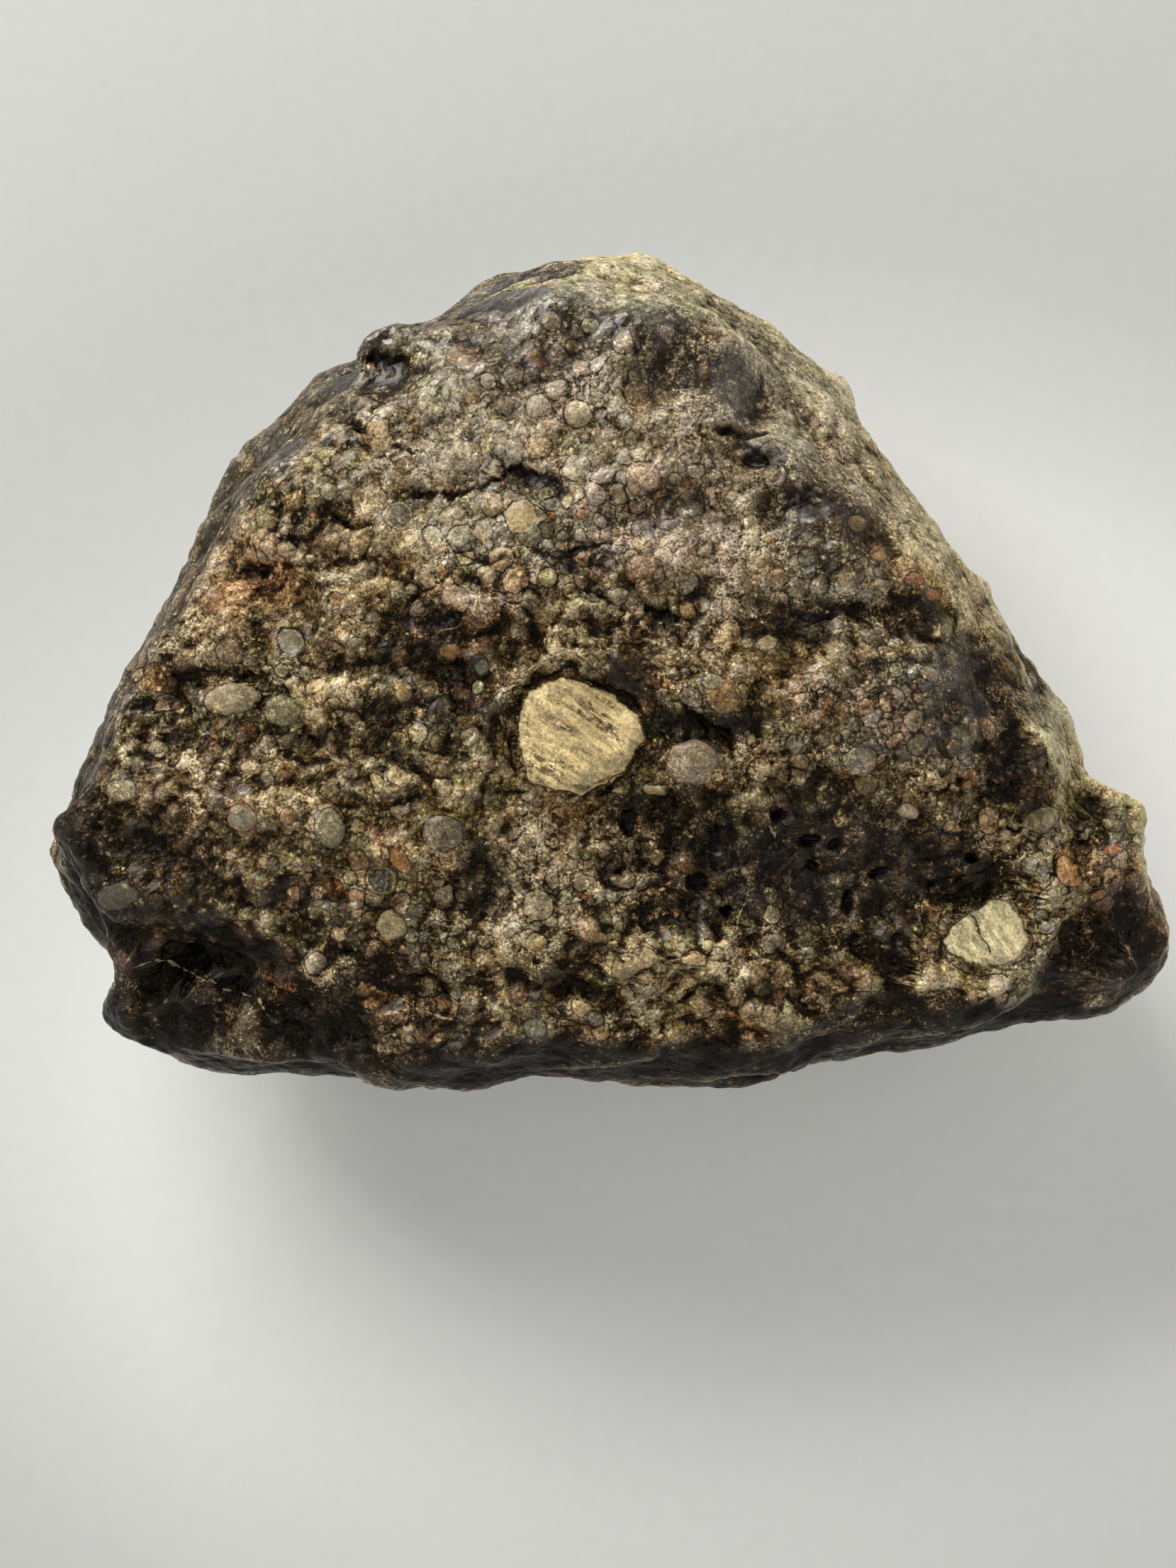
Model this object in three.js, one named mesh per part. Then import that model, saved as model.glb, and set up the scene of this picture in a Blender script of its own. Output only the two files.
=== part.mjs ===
// A broken piece of an ordinary chondrite, a stony meteorite. It is one solid of stone that
// lies on a worn flat spot, with its broken face up, a knob at its right end and a low lobe at
// its lower left corner. Millimetres, +Z up, +X along the stone's length.
import * as THREE from 'three';
import { ImprovedNoise } from 'three/addons/math/ImprovedNoise.js';
import { mergeVertices } from 'three/addons/utils/BufferGeometryUtils.js';

// Driving dimensions, in mm.
const RIM_HEIGHT = 12.5; // the stone is widest near here
const RIM_TILT = 1.8; // the rim rises by this much towards the back right
const RIM_WAVE = 1.2; // and rises and falls by this much twice round the stone
const SHOULDER_HEIGHT = 22.5; // the walls meet the broken face near here
const FACE_HEIGHT = 26.6; // the middle of the broken face
const FACE_FALL_TO_ENDS = 3.4; // how far the face drops towards the left and right ends
const FACE_FALL_TO_FRONT = 5.2; // and towards the front edge
const FACE_FALL_TO_BACK = 1.3; // and towards the peak at the back
const FACE_CROWN = [-2, 4]; // the highest place of the face, from which it falls
const REACH_TO_ENDS = 29;
const REACH_TO_FRONT = 27;
const REACH_TO_BACK = 17;
const FRONT_FALL_SHAPE = 1.7; // 1 would be a straight slope down to the front edge
const EDGE_ROUNDING = 1.6; // between the walls and the face
const KNOB_WELD = 1.6; // rounding where the knob grows out of the body
const LUMP_WELD = 0.96; // and where the lobe, the lip and the smaller lumps do
const FACET_ROUNDING = 1.2; // along the edges of the old fracture planes
const WALL_FULLNESS = 1.3; // above 1, the wall is steep at the rim and leans in higher up
const BELLY_FULLNESS = 1.75; // the same for the underside, which curls in to the resting spot
const WALL_DRIFT = 0.42; // how far the wall's flutes wander sideways, per mm above or below the rim
const ROUGH_BELLY = 1.9; // how much more uneven the walls and the belly are than the broken face
const RIM_WEAR = 0.85; // how much of the unevenness is worn off along the rim
const RIM_BAND = 2.4; // half the height of the worn rim

// The surface is one geodesic net of 20 * (NET_STEPS + 1)^2 triangles round an inner point,
// shared out between the broken face, the walls and the belly.
const NET_STEPS = 21;
const FACE_SHARE = 0.56;
const WALL_SHARE = 0.32;
const FACE_EDGE_HEIGHT = 17.5; // the share for the face takes in the walls down to here
const BELLY_EDGE_HEIGHT = 4.5;
const NET_EASING_PASSES = 34;
const NET_EASING = 0.7;
const FACE_WEIGHT = 2.2; // how much more the net crowds together on the face than on the belly
const INNER_POINT = new THREE.Vector3(-1, -2.5, 12);
const FIRST_REACH = 20;
const SEARCH_STEP = 1.6;
const PRECISION = 0.0004;
const COARSE_PRECISION = 0.02;
const FLAT_TOLERANCE = 0.03; // points this close to the ground lie on it

// Level outlines, each a closed curve round AXIS. They run clockwise from the peak.
const AXIS = [-1, -2.5];
const OUTLINE_SAMPLES = 900;

const RIM_OUTLINE = [
  [-0.5, 25.5], [3.1, 25.1], [4.6, 24.3], [6.3, 23.2], [8.5, 21.5], [10.2, 20.5], [12.0, 19.0],
  [13.7, 18.8], [15.4, 17.6], [15.9, 15.9], [16.5, 13.6], [17.5, 11.4], [19.0, 9.4], [20.4, 6.8],
  [21.6, 5.9], [22.6, 5.1], [23.2, 3.6], [24.2, 1.6], [25.3, 0.1], [26.5, -1.5], [27.2, -3.4],
  [27.8, -5.2], [27.6, -8.5], [27.4, -13.0], [26.4, -17.5], [24.8, -20.0], [23.4, -20.6],
  [19.8, -21.4], [15.7, -22.0], [10.1, -22.9], [6.8, -23.3], [1.2, -23.3], [-2.4, -23.1],
  [-8.4, -23.6], [-12.4, -23.7], [-17.4, -22.7], [-21.5, -20.4], [-25.5, -17.8], [-27.9, -16.8],
  [-29.4, -15.8], [-30.7, -13.9], [-32.0, -12.2], [-32.4, -10.6], [-31.3, -8.0], [-30.1, -4.8],
  [-28.9, -1.6], [-28.0, 1.0], [-26.3, 4.5], [-25.4, 7.0], [-23.7, 9.4], [-23.0, 11.2],
  [-22.2, 13.3], [-20.4, 15.6], [-18.1, 17.6], [-15.5, 18.9], [-13.4, 20.2], [-10.2, 22.1],
  [-7.9, 24.0], [-4.9, 24.9],
];

const SHOULDER_OUTLINE = [
  [0.4, 20.8], [3.0, 19.9], [5.0, 18.7], [7.2, 17.6], [9.1, 15.9], [10.2, 14.1], [10.8, 12.5],
  [12.3, 11.1], [14.7, 8.7], [16.3, 6.7], [18.5, 4.8], [19.3, 3.1], [20.5, 1.1], [21.0, -3.2],
  [22.3, -5.0], [24.0, -7.0], [24.4, -9.5], [24.6, -13.0], [24.2, -17.5], [22.8, -20.0],
  [19.4, -21.0], [15.4, -21.7], [10.0, -22.7], [6.0, -23.3], [0.0, -23.2], [-6.0, -23.3],
  [-11.5, -23.1], [-15.0, -21.6], [-18.8, -18.4], [-20.2, -16.8], [-22.9, -14.8], [-26.0, -12.9],
  [-28.8, -11.6], [-29.8, -10.2], [-28.9, -7.8], [-27.3, -4.6], [-25.6, -1.2], [-24.2, 1.6],
  [-22.6, 4.6], [-21.2, 7.3], [-20.2, 10.0], [-18.6, 12.3], [-15.8, 14.2], [-13.6, 15.8],
  [-11.0, 17.6], [-8.2, 19.2], [-5.0, 20.4], [-2.4, 20.8],
];

const RESTING_OUTLINE = [
  [-2, 8.5], [7, 6], [12.5, 0], [13.5, -7], [9, -13.5], [0, -15.5], [-9.5, -14.5],
  [-15, -9], [-14.5, -1.5], [-9, 5.5],
];

const KNOB_MIDDLE = [27.0, -13.6];
const KNOB_OUTLINE = [
  [27.8, -7.0], [29.3, -7.3], [30.3, -8.7], [31.2, -10.4], [31.4, -11.5], [32.1, -13.0],
  [32.8, -15.0], [32.9, -16.6], [31.8, -17.9], [30.1, -19.2], [28.8, -20.1], [25.8, -20.3],
  [23.5, -18.5], [22.5, -13.5], [24.0, -9.0],
];
const KNOB_HEIGHT = 12.0; // of its widest level
const KNOB_RISE = 7.6;
const KNOB_SQUARENESS = 2.6; // 2 would make an egg of it, and more a rounded block

// The lobe, the lip and other lumps that stand out from the body:
// middle, half sizes along, across and up, and the bearing of its long axis in degrees.
const OUTGROWTHS = [
  { middle: [-22.0, -20.6, 12.6], half: [5.9, 2.6, 6.4], bearing: -14 }, // lower left lobe
  { middle: [-22.4, -19.2, 17.6], half: [5.0, 1.3, 2.3], bearing: -24 }, // lobe crest
  { middle: [-11.9, 16.6, 23.6], half: [2.9, 1.7, 1.7], bearing: 22 }, // overhanging lip
  { middle: [-27.4, -13.2, 17.6], half: [2.0, 1.2, 1.6], bearing: -20 }, // left end lump
  { middle: [28.6, -11.4, 17.6], half: [1.9, 3.4, 1.7], bearing: -12 }, // knob fold
  { middle: [27.6, -17.2, 16.4], half: [3.4, 1.9, 3.0], bearing: 10 }, // knob foot
];

// Low swells and hollows of the broken face: middle, half sizes, bearing and rise.
const SWELLS = [
  { middle: [-12.4, 14.3], half: [2.6, 1.3], bearing: 25, rise: -0.9 }, // below the lip
  { middle: [-17.5, 9.8], half: [2.4, 1.5], bearing: 30, rise: 0.7 },
  { middle: [9.0, 10.6], half: [1.9, 1.4], bearing: -20, rise: 1.1 }, // curled lump
  { middle: [7.7, 9.6], half: [1.1, 0.7], bearing: -10, rise: -1.0 }, // its undercut
  { middle: [15.2, 2.9], half: [1.9, 1.1], bearing: -8, rise: 0.9 },
  { middle: [16.2, -1.0], half: [1.8, 1.2], bearing: 0, rise: 0.7 },
  { middle: [19.0, -2.2], half: [1.7, 1.6], bearing: 35, rise: 0.9 },
  { middle: [18.2, 0.9], half: [1.5, 1.0], bearing: -30, rise: 0.6 },
  { middle: [-1.8, -4.9], half: [4.2, 3.4], bearing: 0, rise: -0.8 }, // bed of the tan clast
  { middle: [4.5, -7.5], half: [1.5, 1.3], bearing: 0, rise: 0.9 }, // grey clast
  { middle: [9.6, -12.2], half: [9.0, 3.6], bearing: -6, rise: -1.5 }, // dark pitted hollow
  { middle: [2.0, -17.7], half: [9.0, 1.8], bearing: -2, rise: 0.9 },
  { middle: [14.8, -19.2], half: [3.8, 1.3], bearing: 8, rise: 0.6 },
  { middle: [22.4, -9.6], half: [2.0, 3.4], bearing: 5, rise: -1.2 }, // gully beside the knob
  { middle: [20.4, -15.2], half: [3.6, 2.4], bearing: 22, rise: -1.5 }, // bed of the oval clast
  { middle: [-19.3, 3.3], half: [1.7, 0.9], bearing: -8, rise: -0.9 },
  { middle: [-22.0, 2.0], half: [1.5, 1.1], bearing: 10, rise: 0.5 },
  { middle: [-8.8, -11.3], half: [1.4, 1.1], bearing: 0, rise: 0.6 },
  { middle: [-17.5, -10.8], half: [5.0, 2.6], bearing: -20, rise: 0.8 },
  { middle: [-12.0, -18.2], half: [3.6, 1.4], bearing: -14, rise: -0.7 },
  { middle: [-17.6, -20.2], half: [3.4, 1.5], bearing: -32, rise: -2.1 }, // valley above the lobe
  { middle: [-6.0, 12.8], half: [6.5, 2.6], bearing: 8, rise: 0.5 },
  { middle: [1.0, 4.6], half: [5.0, 2.4], bearing: -10, rise: 0.5 },
];

// Rounded ridges of the face, each along a bent line.
const RIDGES = [
  { line: [[-13.0, 15.9], [-8.4, 18.2], [-3.6, 19.2], [0.4, 19.4]], width: 1.5, rise: 0.9 },
  { line: [[11.3, 8.6], [12.3, 6.4], [12.6, 4.4]], width: 0.9, rise: 0.8 },
  { line: [[18.2, -18.9], [20.6, -18.6], [22.4, -17.6], [23.6, -15.8]], width: 0.8, rise: 1.1 },
  { line: [[8.6, 14.4], [11.6, 10.4], [14.0, 7.8], [16.6, 5.4]], width: 0.9, rise: 0.5 },
  { line: [[-25.6, -7.0], [-23.0, -9.0], [-19.4, -10.4]], width: 1.1, rise: 0.5 },
];

// Ledges: the face breaks down along each line, and climbs back over the given reach.
// Walking along the line from its first point, the low side is on the left.
const LEDGES = [
  { line: [[12.6, 2.4], [9.4, 1.8], [5.6, 2.6]], drop: 1.2, reach: 3.4 },
  { line: [[18.6, 1.6], [16.4, 1.2], [14.0, 1.7]], drop: 1.0, reach: 2.4 },
  { line: [[6.8, -5.6], [3.8, -5.1], [2.3, -5.4]], drop: 0.9, reach: 2.0 },
  { line: [[1.4, -3.9], [-0.6, -2.5], [-2.9, -2.3], [-5.2, -4.2]], drop: 1.1, reach: 2.6 },
  { line: [[2.0, -6.6], [-0.4, -7.8], [-2.6, -9.8]], drop: 1.5, reach: 4.2 },
  { line: [[-2.7, 8.2], [-5.2, 9.2], [-8.5, 7.7], [-11.6, 7.9]], drop: 0.5, reach: 2.2 },
  { line: [[-4.4, -0.4], [-8.6, 0.5], [-12.6, 0.9]], drop: 0.5, reach: 3.0 },
  { line: [[-19.0, -2.5], [-20.6, -2.4], [-22.2, -1.8]], drop: 0.6, reach: 1.6 },
  { line: [[8.9, 11.0], [6.4, 11.4], [5.0, 11.2]], drop: 0.7, reach: 1.8 },
  { line: [[3.8, 0.6], [1.6, 1.0], [-1.0, 0.4]], drop: 0.6, reach: 2.2 },
  { line: [[-12.2, -12.6], [-14.8, -12.2], [-17.6, -13.4]], drop: 0.8, reach: 2.6 },
  { line: [[-2.0, -19.0], [-6.4, -18.6], [-10.0, -19.2]], drop: 0.8, reach: 2.4 },
  { line: [[14.6, -16.8], [10.6, -16.2], [7.0, -16.6]], drop: 0.8, reach: 2.8 },
  { line: [[-13.2, 4.4], [-16.0, 5.4], [-19.4, 4.6]], drop: 0.4, reach: 2.4 },
];
const LEDGE_BRINK = 0.5; // half the width of the break itself
const LINE_FADE = 1.4; // over which a ridge or a ledge dies out past its ends

// Old fracture planes that trim the walls and the belly: a point of each, and the way it faces.
const FRACTURE_PLANES = [
  { through: [-17.0, 13.0, 6.0], outward: [-0.55, 0.60, -0.58] },
  { through: [17.5, 8.0, 6.5], outward: [0.62, 0.45, -0.64] },
  { through: [2.0, -21.0, 6.0], outward: [0.06, -0.84, -0.54] },
  { through: [22.0, -17.0, 5.5], outward: [0.50, -0.46, -0.73] },
  { through: [-27.5, -7.0, 6.0], outward: [-0.76, -0.08, -0.64] },
  { through: [-19.0, -18.5, 5.5], outward: [-0.42, -0.62, -0.66] },
  { through: [-18.4, 14.6, 18.0], outward: [-0.66, 0.60, 0.45] },
  { through: [13.6, 14.2, 18.5], outward: [0.70, 0.54, 0.46] },
  { through: [0.5, 23.2, 18.5], outward: [0.05, 0.84, 0.54] },
  { through: [-2.0, 15.5, 4.5], outward: [-0.05, 0.55, -0.83] },
];

// Unevenness of the stone: the size of its lumps, how high they stand, and a shift of pattern.
const LUMPS = [
  { size: 13, height: 0.9, shift: 3.1 },
  { size: 6.2, height: 0.55, shift: 17.7 },
  { size: 3.1, height: 0.34, shift: 41.3 },
];
// Sharp crests of the broken stone. Those above the level stand out, the rest sinks a little.
const HACKLES = { size: 4.4, height: 0.6, level: 0.6, shift: 71.9 };

const WALL_FLUTES = { size: 7.5, shift: 9.3 };

const STONE_COLOUR = 0x4a4238;
const STONE_ROUGHNESS = 0.6;

const noise = new ImprovedNoise();

function smoothMax(a, b, rounding) {
  const blend = Math.max(rounding - Math.abs(a - b), 0) / rounding;
  return Math.max(a, b) + (blend * blend * rounding) / 4;
}

function smoothMin(a, b, rounding) {
  return -smoothMax(-a, -b, rounding);
}

function wrapped(bearing) {
  return THREE.MathUtils.euclideanModulo(bearing + Math.PI, 2 * Math.PI) - Math.PI;
}

// The value of a rising table at x, read between its entries.
function readTable(keys, values, x) {
  let low = 0;
  let high = keys.length - 1;
  while (high - low > 1) {
    const between = (low + high) >> 1;
    if (keys[between] > x) high = between;
    else low = between;
  }
  const span = keys[high] - keys[low];
  const part = span > 0 ? (x - keys[low]) / span : 0;
  return THREE.MathUtils.lerp(values[low], values[high], part);
}

// The radius of a closed outline round a middle point, as a function of the bearing.
function radiusByBearing(points, middle) {
  const corners = points.map(([x, y]) => new THREE.Vector3(x - middle[0], y - middle[1], 0));
  const curve = new THREE.CatmullRomCurve3(corners, true, 'centripetal');
  const samples = curve.getPoints(OUTLINE_SAMPLES).slice(0, OUTLINE_SAMPLES);
  const polar = samples.map((p) => [Math.atan2(p.y, p.x), Math.hypot(p.x, p.y)]);
  polar.sort((a, b) => a[0] - b[0]);
  const [firstBearing, firstRadius] = polar[0];
  const [lastBearing, lastRadius] = polar[polar.length - 1];
  polar.unshift([lastBearing - 2 * Math.PI, lastRadius]);
  polar.push([firstBearing + 2 * Math.PI, firstRadius]);
  const bearings = polar.map((entry) => entry[0]);
  const radii = polar.map((entry) => entry[1]);
  return (bearing) => readTable(bearings, radii, bearing);
}

// Bearings dealt out so that equal steps of azimuth sweep equal areas of the broken face.
function bearingByAzimuth(radiusAt) {
  const bearings = [-Math.PI];
  const swept = [0];
  const step = (2 * Math.PI) / OUTLINE_SAMPLES;
  for (let i = 0; i < OUTLINE_SAMPLES; i += 1) {
    bearings.push(bearings[i] + step);
    swept.push(swept[i] + radiusAt(bearings[i] + step / 2) ** 2);
  }
  const whole = swept[OUTLINE_SAMPLES];
  return (azimuth) => readTable(swept, bearings, (azimuth / (2 * Math.PI) + 0.5) * whole);
}

const rimRadius = radiusByBearing(RIM_OUTLINE, AXIS);
const shoulderRadius = radiusByBearing(SHOULDER_OUTLINE, AXIS);
const restingRadius = radiusByBearing(RESTING_OUTLINE, AXIS);
const knobRadius = radiusByBearing(KNOB_OUTLINE, KNOB_MIDDLE);

function rimHeight(bearing) {
  const tilt = RIM_TILT * Math.cos(bearing - Math.PI / 4);
  return RIM_HEIGHT + tilt + RIM_WAVE * Math.sin(2 * bearing);
}

function wallRadius(bearing, z) {
  const level = rimHeight(bearing);
  const rim = rimRadius(bearing);
  if (z >= level) {
    const rise = (z - level) / (SHOULDER_HEIGHT - level);
    return THREE.MathUtils.lerp(rim, shoulderRadius(bearing), rise ** WALL_FULLNESS);
  }
  const fall = (level - Math.max(z, 0)) / level;
  return THREE.MathUtils.lerp(rim, restingRadius(bearing), fall ** BELLY_FULLNESS);
}

// A point in a feature's own frame, whose first axis points along the bearing.
function inFrame(x, y, middle, bearing) {
  const turn = THREE.MathUtils.degToRad(bearing);
  const dx = x - middle[0];
  const dy = y - middle[1];
  return [dx * Math.cos(turn) + dy * Math.sin(turn), dy * Math.cos(turn) - dx * Math.sin(turn)];
}

// The nearest place on a bent line: how far off it is, on which side, and how far past an end.
function nearestOnLine(x, y, line) {
  let best = { distance: Infinity, side: 1, past: 0 };
  for (let i = 0; i + 1 < line.length; i += 1) {
    const [ax, ay] = line[i];
    const [bx, by] = line[i + 1];
    const length = Math.hypot(bx - ax, by - ay);
    const ux = (bx - ax) / length;
    const uy = (by - ay) / length;
    const along = (x - ax) * ux + (y - ay) * uy;
    const held = THREE.MathUtils.clamp(along, 0, length);
    const distance = Math.hypot(x - ax - held * ux, y - ay - held * uy);
    const side = Math.sign(ux * (y - ay) - uy * (x - ax)) || 1;
    const before = i === 0 ? Math.max(-along, 0) : 0;
    const after = i + 2 === line.length ? Math.max(along - length, 0) : 0;
    if (distance < best.distance) best = { distance, side, past: Math.max(before, after) };
  }
  return best;
}

function swellAt(x, y, swell) {
  const [along, across] = inFrame(x, y, swell.middle, swell.bearing);
  const reach = (along / swell.half[0]) ** 2 + (across / swell.half[1]) ** 2;
  return swell.rise * Math.exp(-reach);
}

function ridgeAt(x, y, ridge) {
  const near = nearestOnLine(x, y, ridge.line);
  const fade = Math.exp(-((near.past / LINE_FADE) ** 2));
  return ridge.rise * fade * Math.exp(-((near.distance / ridge.width) ** 2));
}

function ledgeAt(x, y, ledge) {
  const near = nearestOnLine(x, y, ledge.line);
  const below = near.distance * near.side;
  const broken = THREE.MathUtils.smoothstep(below, -LEDGE_BRINK, LEDGE_BRINK);
  const recovery = Math.exp(-Math.max(below, 0) / ledge.reach);
  const fade = Math.exp(-((near.past / LINE_FADE) ** 2));
  return -ledge.drop * broken * recovery * fade;
}

function faceHeight(x, y) {
  const toEnd = (x - FACE_CROWN[0]) / REACH_TO_ENDS;
  const toFront = Math.max(FACE_CROWN[1] - y, 0) / REACH_TO_FRONT;
  const toBack = Math.max(y - FACE_CROWN[1], 0) / REACH_TO_BACK;
  let height = FACE_HEIGHT - FACE_FALL_TO_ENDS * toEnd * toEnd;
  height -= FACE_FALL_TO_FRONT * toFront ** FRONT_FALL_SHAPE;
  height -= FACE_FALL_TO_BACK * toBack * toBack;
  for (const swell of SWELLS) height += swellAt(x, y, swell);
  for (const ridge of RIDGES) height += ridgeAt(x, y, ridge);
  for (const ledge of LEDGES) height += ledgeAt(x, y, ledge);
  return height;
}

// Each solid below is a field that is negative inside the stone and grows outwards, in mm.
function body(x, y, z) {
  const reach = Math.hypot(x - AXIS[0], y - AXIS[1]);
  const { size, shift } = WALL_FLUTES;
  const wander = noise.noise(x / size + shift, y / size + shift, z / size + shift);
  const drift = (WALL_DRIFT * (z - RIM_HEIGHT) * wander) / Math.max(reach, 1);
  const bearing = wrapped(Math.atan2(y - AXIS[1], x - AXIS[0]) + drift);
  const wall = reach - wallRadius(bearing, z);
  const face = z - faceHeight(x, y);
  return smoothMax(wall, face, EDGE_ROUNDING);
}

function knob(x, y, z) {
  const [mx, my] = KNOB_MIDDLE;
  const radius = knobRadius(Math.atan2(y - my, x - mx));
  const level = Math.hypot(x - mx, y - my) / radius;
  const rise = Math.abs(z - KNOB_HEIGHT) / KNOB_RISE;
  const swollen = level ** KNOB_SQUARENESS + rise ** KNOB_SQUARENESS;
  return (swollen ** (1 / KNOB_SQUARENESS) - 1) * radius;
}

function outgrowth(x, y, z, lump) {
  const [along, across] = inFrame(x, y, lump.middle, lump.bearing);
  const up = z - lump.middle[2];
  const [a, b, c] = lump.half;
  return (Math.hypot(along / a, across / b, up / c) - 1) * Math.min(a, b, c);
}

function unevenness(x, y, z) {
  let height = 0;
  for (const { size, height: tall, shift } of LUMPS) {
    height += tall * noise.noise(x / size + shift, y / size + shift, z / size + shift);
  }
  const { size, height: tall, level, shift } = HACKLES;
  const crest = 1 - 2 * Math.abs(noise.noise(x / size + shift, y / size - shift, z / size + shift));
  const below = 1 - THREE.MathUtils.smoothstep(z, RIM_HEIGHT, SHOULDER_HEIGHT);
  const fromRim = (z - rimHeight(Math.atan2(y - AXIS[1], x - AXIS[0]))) / RIM_BAND;
  const wear = 1 - RIM_WEAR * Math.exp(-fromRim * fromRim);
  return (height + tall * (crest - level)) * THREE.MathUtils.lerp(1, ROUGH_BELLY, below) * wear;
}

function trimmedBody(x, y, z) {
  let field = body(x, y, z);
  for (const { through, outward } of FRACTURE_PLANES) {
    const [nx, ny, nz] = outward;
    const [px, py, pz] = through;
    const beyond = nx * (x - px) + ny * (y - py) + nz * (z - pz);
    field = smoothMax(field, beyond, FACET_ROUNDING);
  }
  return field;
}

function stone(x, y, z) {
  let field = smoothMin(trimmedBody(x, y, z), knob(x, y, z), KNOB_WELD);
  for (const lump of OUTGROWTHS) {
    field = smoothMin(field, outgrowth(x, y, z, lump), LUMP_WELD);
  }
  return Math.max(field - unevenness(x, y, z), -z);
}

// The last place along a line, between two distances, where the stone's field is negative.
function lastInside(fieldAt, near, far, precision) {
  let inside = near;
  let outside = far;
  while (outside - inside > precision) {
    const middle = (inside + outside) / 2;
    if (fieldAt(middle) < 0) inside = middle;
    else outside = middle;
  }
  return inside;
}

// How far the stone reaches at one level, as a function of the bearing.
function sectionRadius(height) {
  const bearings = [];
  const radii = [];
  for (let i = 0; i <= OUTLINE_SAMPLES; i += 1) {
    const bearing = -Math.PI + (2 * Math.PI * i) / OUTLINE_SAMPLES;
    const [dx, dy] = [Math.cos(bearing), Math.sin(bearing)];
    const fieldAt = (reach) => stone(AXIS[0] + reach * dx, AXIS[1] + reach * dy, height);
    bearings.push(bearing);
    radii.push(lastInside(fieldAt, 0, 2 * FIRST_REACH, COARSE_PRECISION));
  }
  return (bearing) => readTable(bearings, radii, bearing);
}

function topHeight(x, y) {
  const fieldAt = (z) => stone(x, y, z);
  return lastInside(fieldAt, RIM_HEIGHT, FACE_HEIGHT + SEARCH_STEP, COARSE_PRECISION);
}

const faceEdgeRadius = sectionRadius(FACE_EDGE_HEIGHT);
const evenBearing = bearingByAzimuth(faceEdgeRadius);

// Where the ray from the inner point leaves the stone, searched for from a first guess.
function surfacePoint(direction, guess) {
  const fieldAt = (reach) => stone(
    INNER_POINT.x + direction.x * reach,
    INNER_POINT.y + direction.y * reach,
    INNER_POINT.z + direction.z * reach,
  );
  let inside = Math.max(guess - SEARCH_STEP, 0);
  let outside = guess + SEARCH_STEP;
  while (inside > 0 && fieldAt(inside) > 0) inside = Math.max(inside - SEARCH_STEP, 0);
  while (fieldAt(outside) < 0) outside += SEARCH_STEP;
  const reach = lastInside(fieldAt, inside, outside, PRECISION);
  const point = direction.clone().multiplyScalar(reach).add(INNER_POINT);
  if (point.z < FLAT_TOLERANCE) point.z = 0;
  return point;
}

// A place near the surface for each vertex of the net, level by level from the face down.
function startingDirection(vertex) {
  const bearing = evenBearing(Math.atan2(vertex.y, vertex.x));
  const level = (1 - vertex.z) / 2;
  const down = THREE.MathUtils.clamp((level - FACE_SHARE) / WALL_SHARE, 0, 1);
  const height = THREE.MathUtils.lerp(FACE_EDGE_HEIGHT, BELLY_EDGE_HEIGHT, down);
  const inFace = Math.sqrt(Math.min(level / FACE_SHARE, 1));
  const inBelly = Math.sqrt(Math.min((1 - level) / (1 - FACE_SHARE - WALL_SHARE), 1));
  const edge = down > 0 ? wallRadius(bearing, height) : faceEdgeRadius(bearing);
  const radius = edge * inFace * inBelly;
  const x = AXIS[0] + radius * Math.cos(bearing);
  const y = AXIS[1] + radius * Math.sin(bearing);
  const z = inFace < 1 ? topHeight(x, y) : height;
  return new THREE.Vector3(x, y, z).sub(INNER_POINT).normalize();
}

// The corners of each triangle of the net, and the triangles round each of its points.
function netOf(geometry) {
  const index = geometry.getIndex();
  const triangles = [];
  const around = Array.from({ length: geometry.getAttribute('position').count }, () => []);
  for (let i = 0; i < index.count; i += 3) {
    const corners = [index.getX(i), index.getX(i + 1), index.getX(i + 2)];
    for (const corner of corners) around[corner].push(triangles.length);
    triangles.push(corners);
  }
  return { triangles, around };
}

// The net is eased towards its larger triangles, so that they stay even on steep walls, and
// falls back on the stone.
function easedPoints(points, { triangles, around }) {
  const pulls = triangles.map((corners) => {
    const [a, b, c] = corners.map((corner) => points[corner]);
    const middle = a.clone().add(b).add(c).divideScalar(3);
    const upward = THREE.MathUtils.smoothstep(middle.z, RIM_HEIGHT, SHOULDER_HEIGHT);
    const weight = THREE.MathUtils.lerp(1, FACE_WEIGHT, upward);
    return { middle, weight: weight * new THREE.Triangle(a, b, c).getArea() };
  });
  return points.map((point, i) => {
    const target = new THREE.Vector3();
    let total = 0;
    for (const t of around[i]) {
      target.addScaledVector(pulls[t].middle, pulls[t].weight);
      total += pulls[t].weight;
    }
    target.divideScalar(total);
    const eased = point.clone().lerp(target, NET_EASING).sub(INNER_POINT);
    const reach = eased.length();
    return surfacePoint(eased.divideScalar(reach), reach);
  });
}

function stoneGeometry() {
  const ball = new THREE.IcosahedronGeometry(1, NET_STEPS);
  ball.deleteAttribute('normal');
  ball.deleteAttribute('uv');
  const geometry = mergeVertices(ball, 1e-5);
  const position = geometry.getAttribute('position');
  const net = netOf(geometry);
  let points = [];
  for (let i = 0; i < position.count; i += 1) {
    const vertex = new THREE.Vector3().fromBufferAttribute(position, i);
    points.push(surfacePoint(startingDirection(vertex), FIRST_REACH));
  }
  for (let pass = 0; pass < NET_EASING_PASSES; pass += 1) points = easedPoints(points, net);
  points.forEach((point, i) => position.setXYZ(i, point.x, point.y, point.z));
  geometry.computeBoundingBox();
  const { min, max } = geometry.boundingBox;
  geometry.translate(-(min.x + max.x) / 2, -(min.y + max.y) / 2, -min.z);
  geometry.computeVertexNormals();
  return geometry;
}

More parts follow.
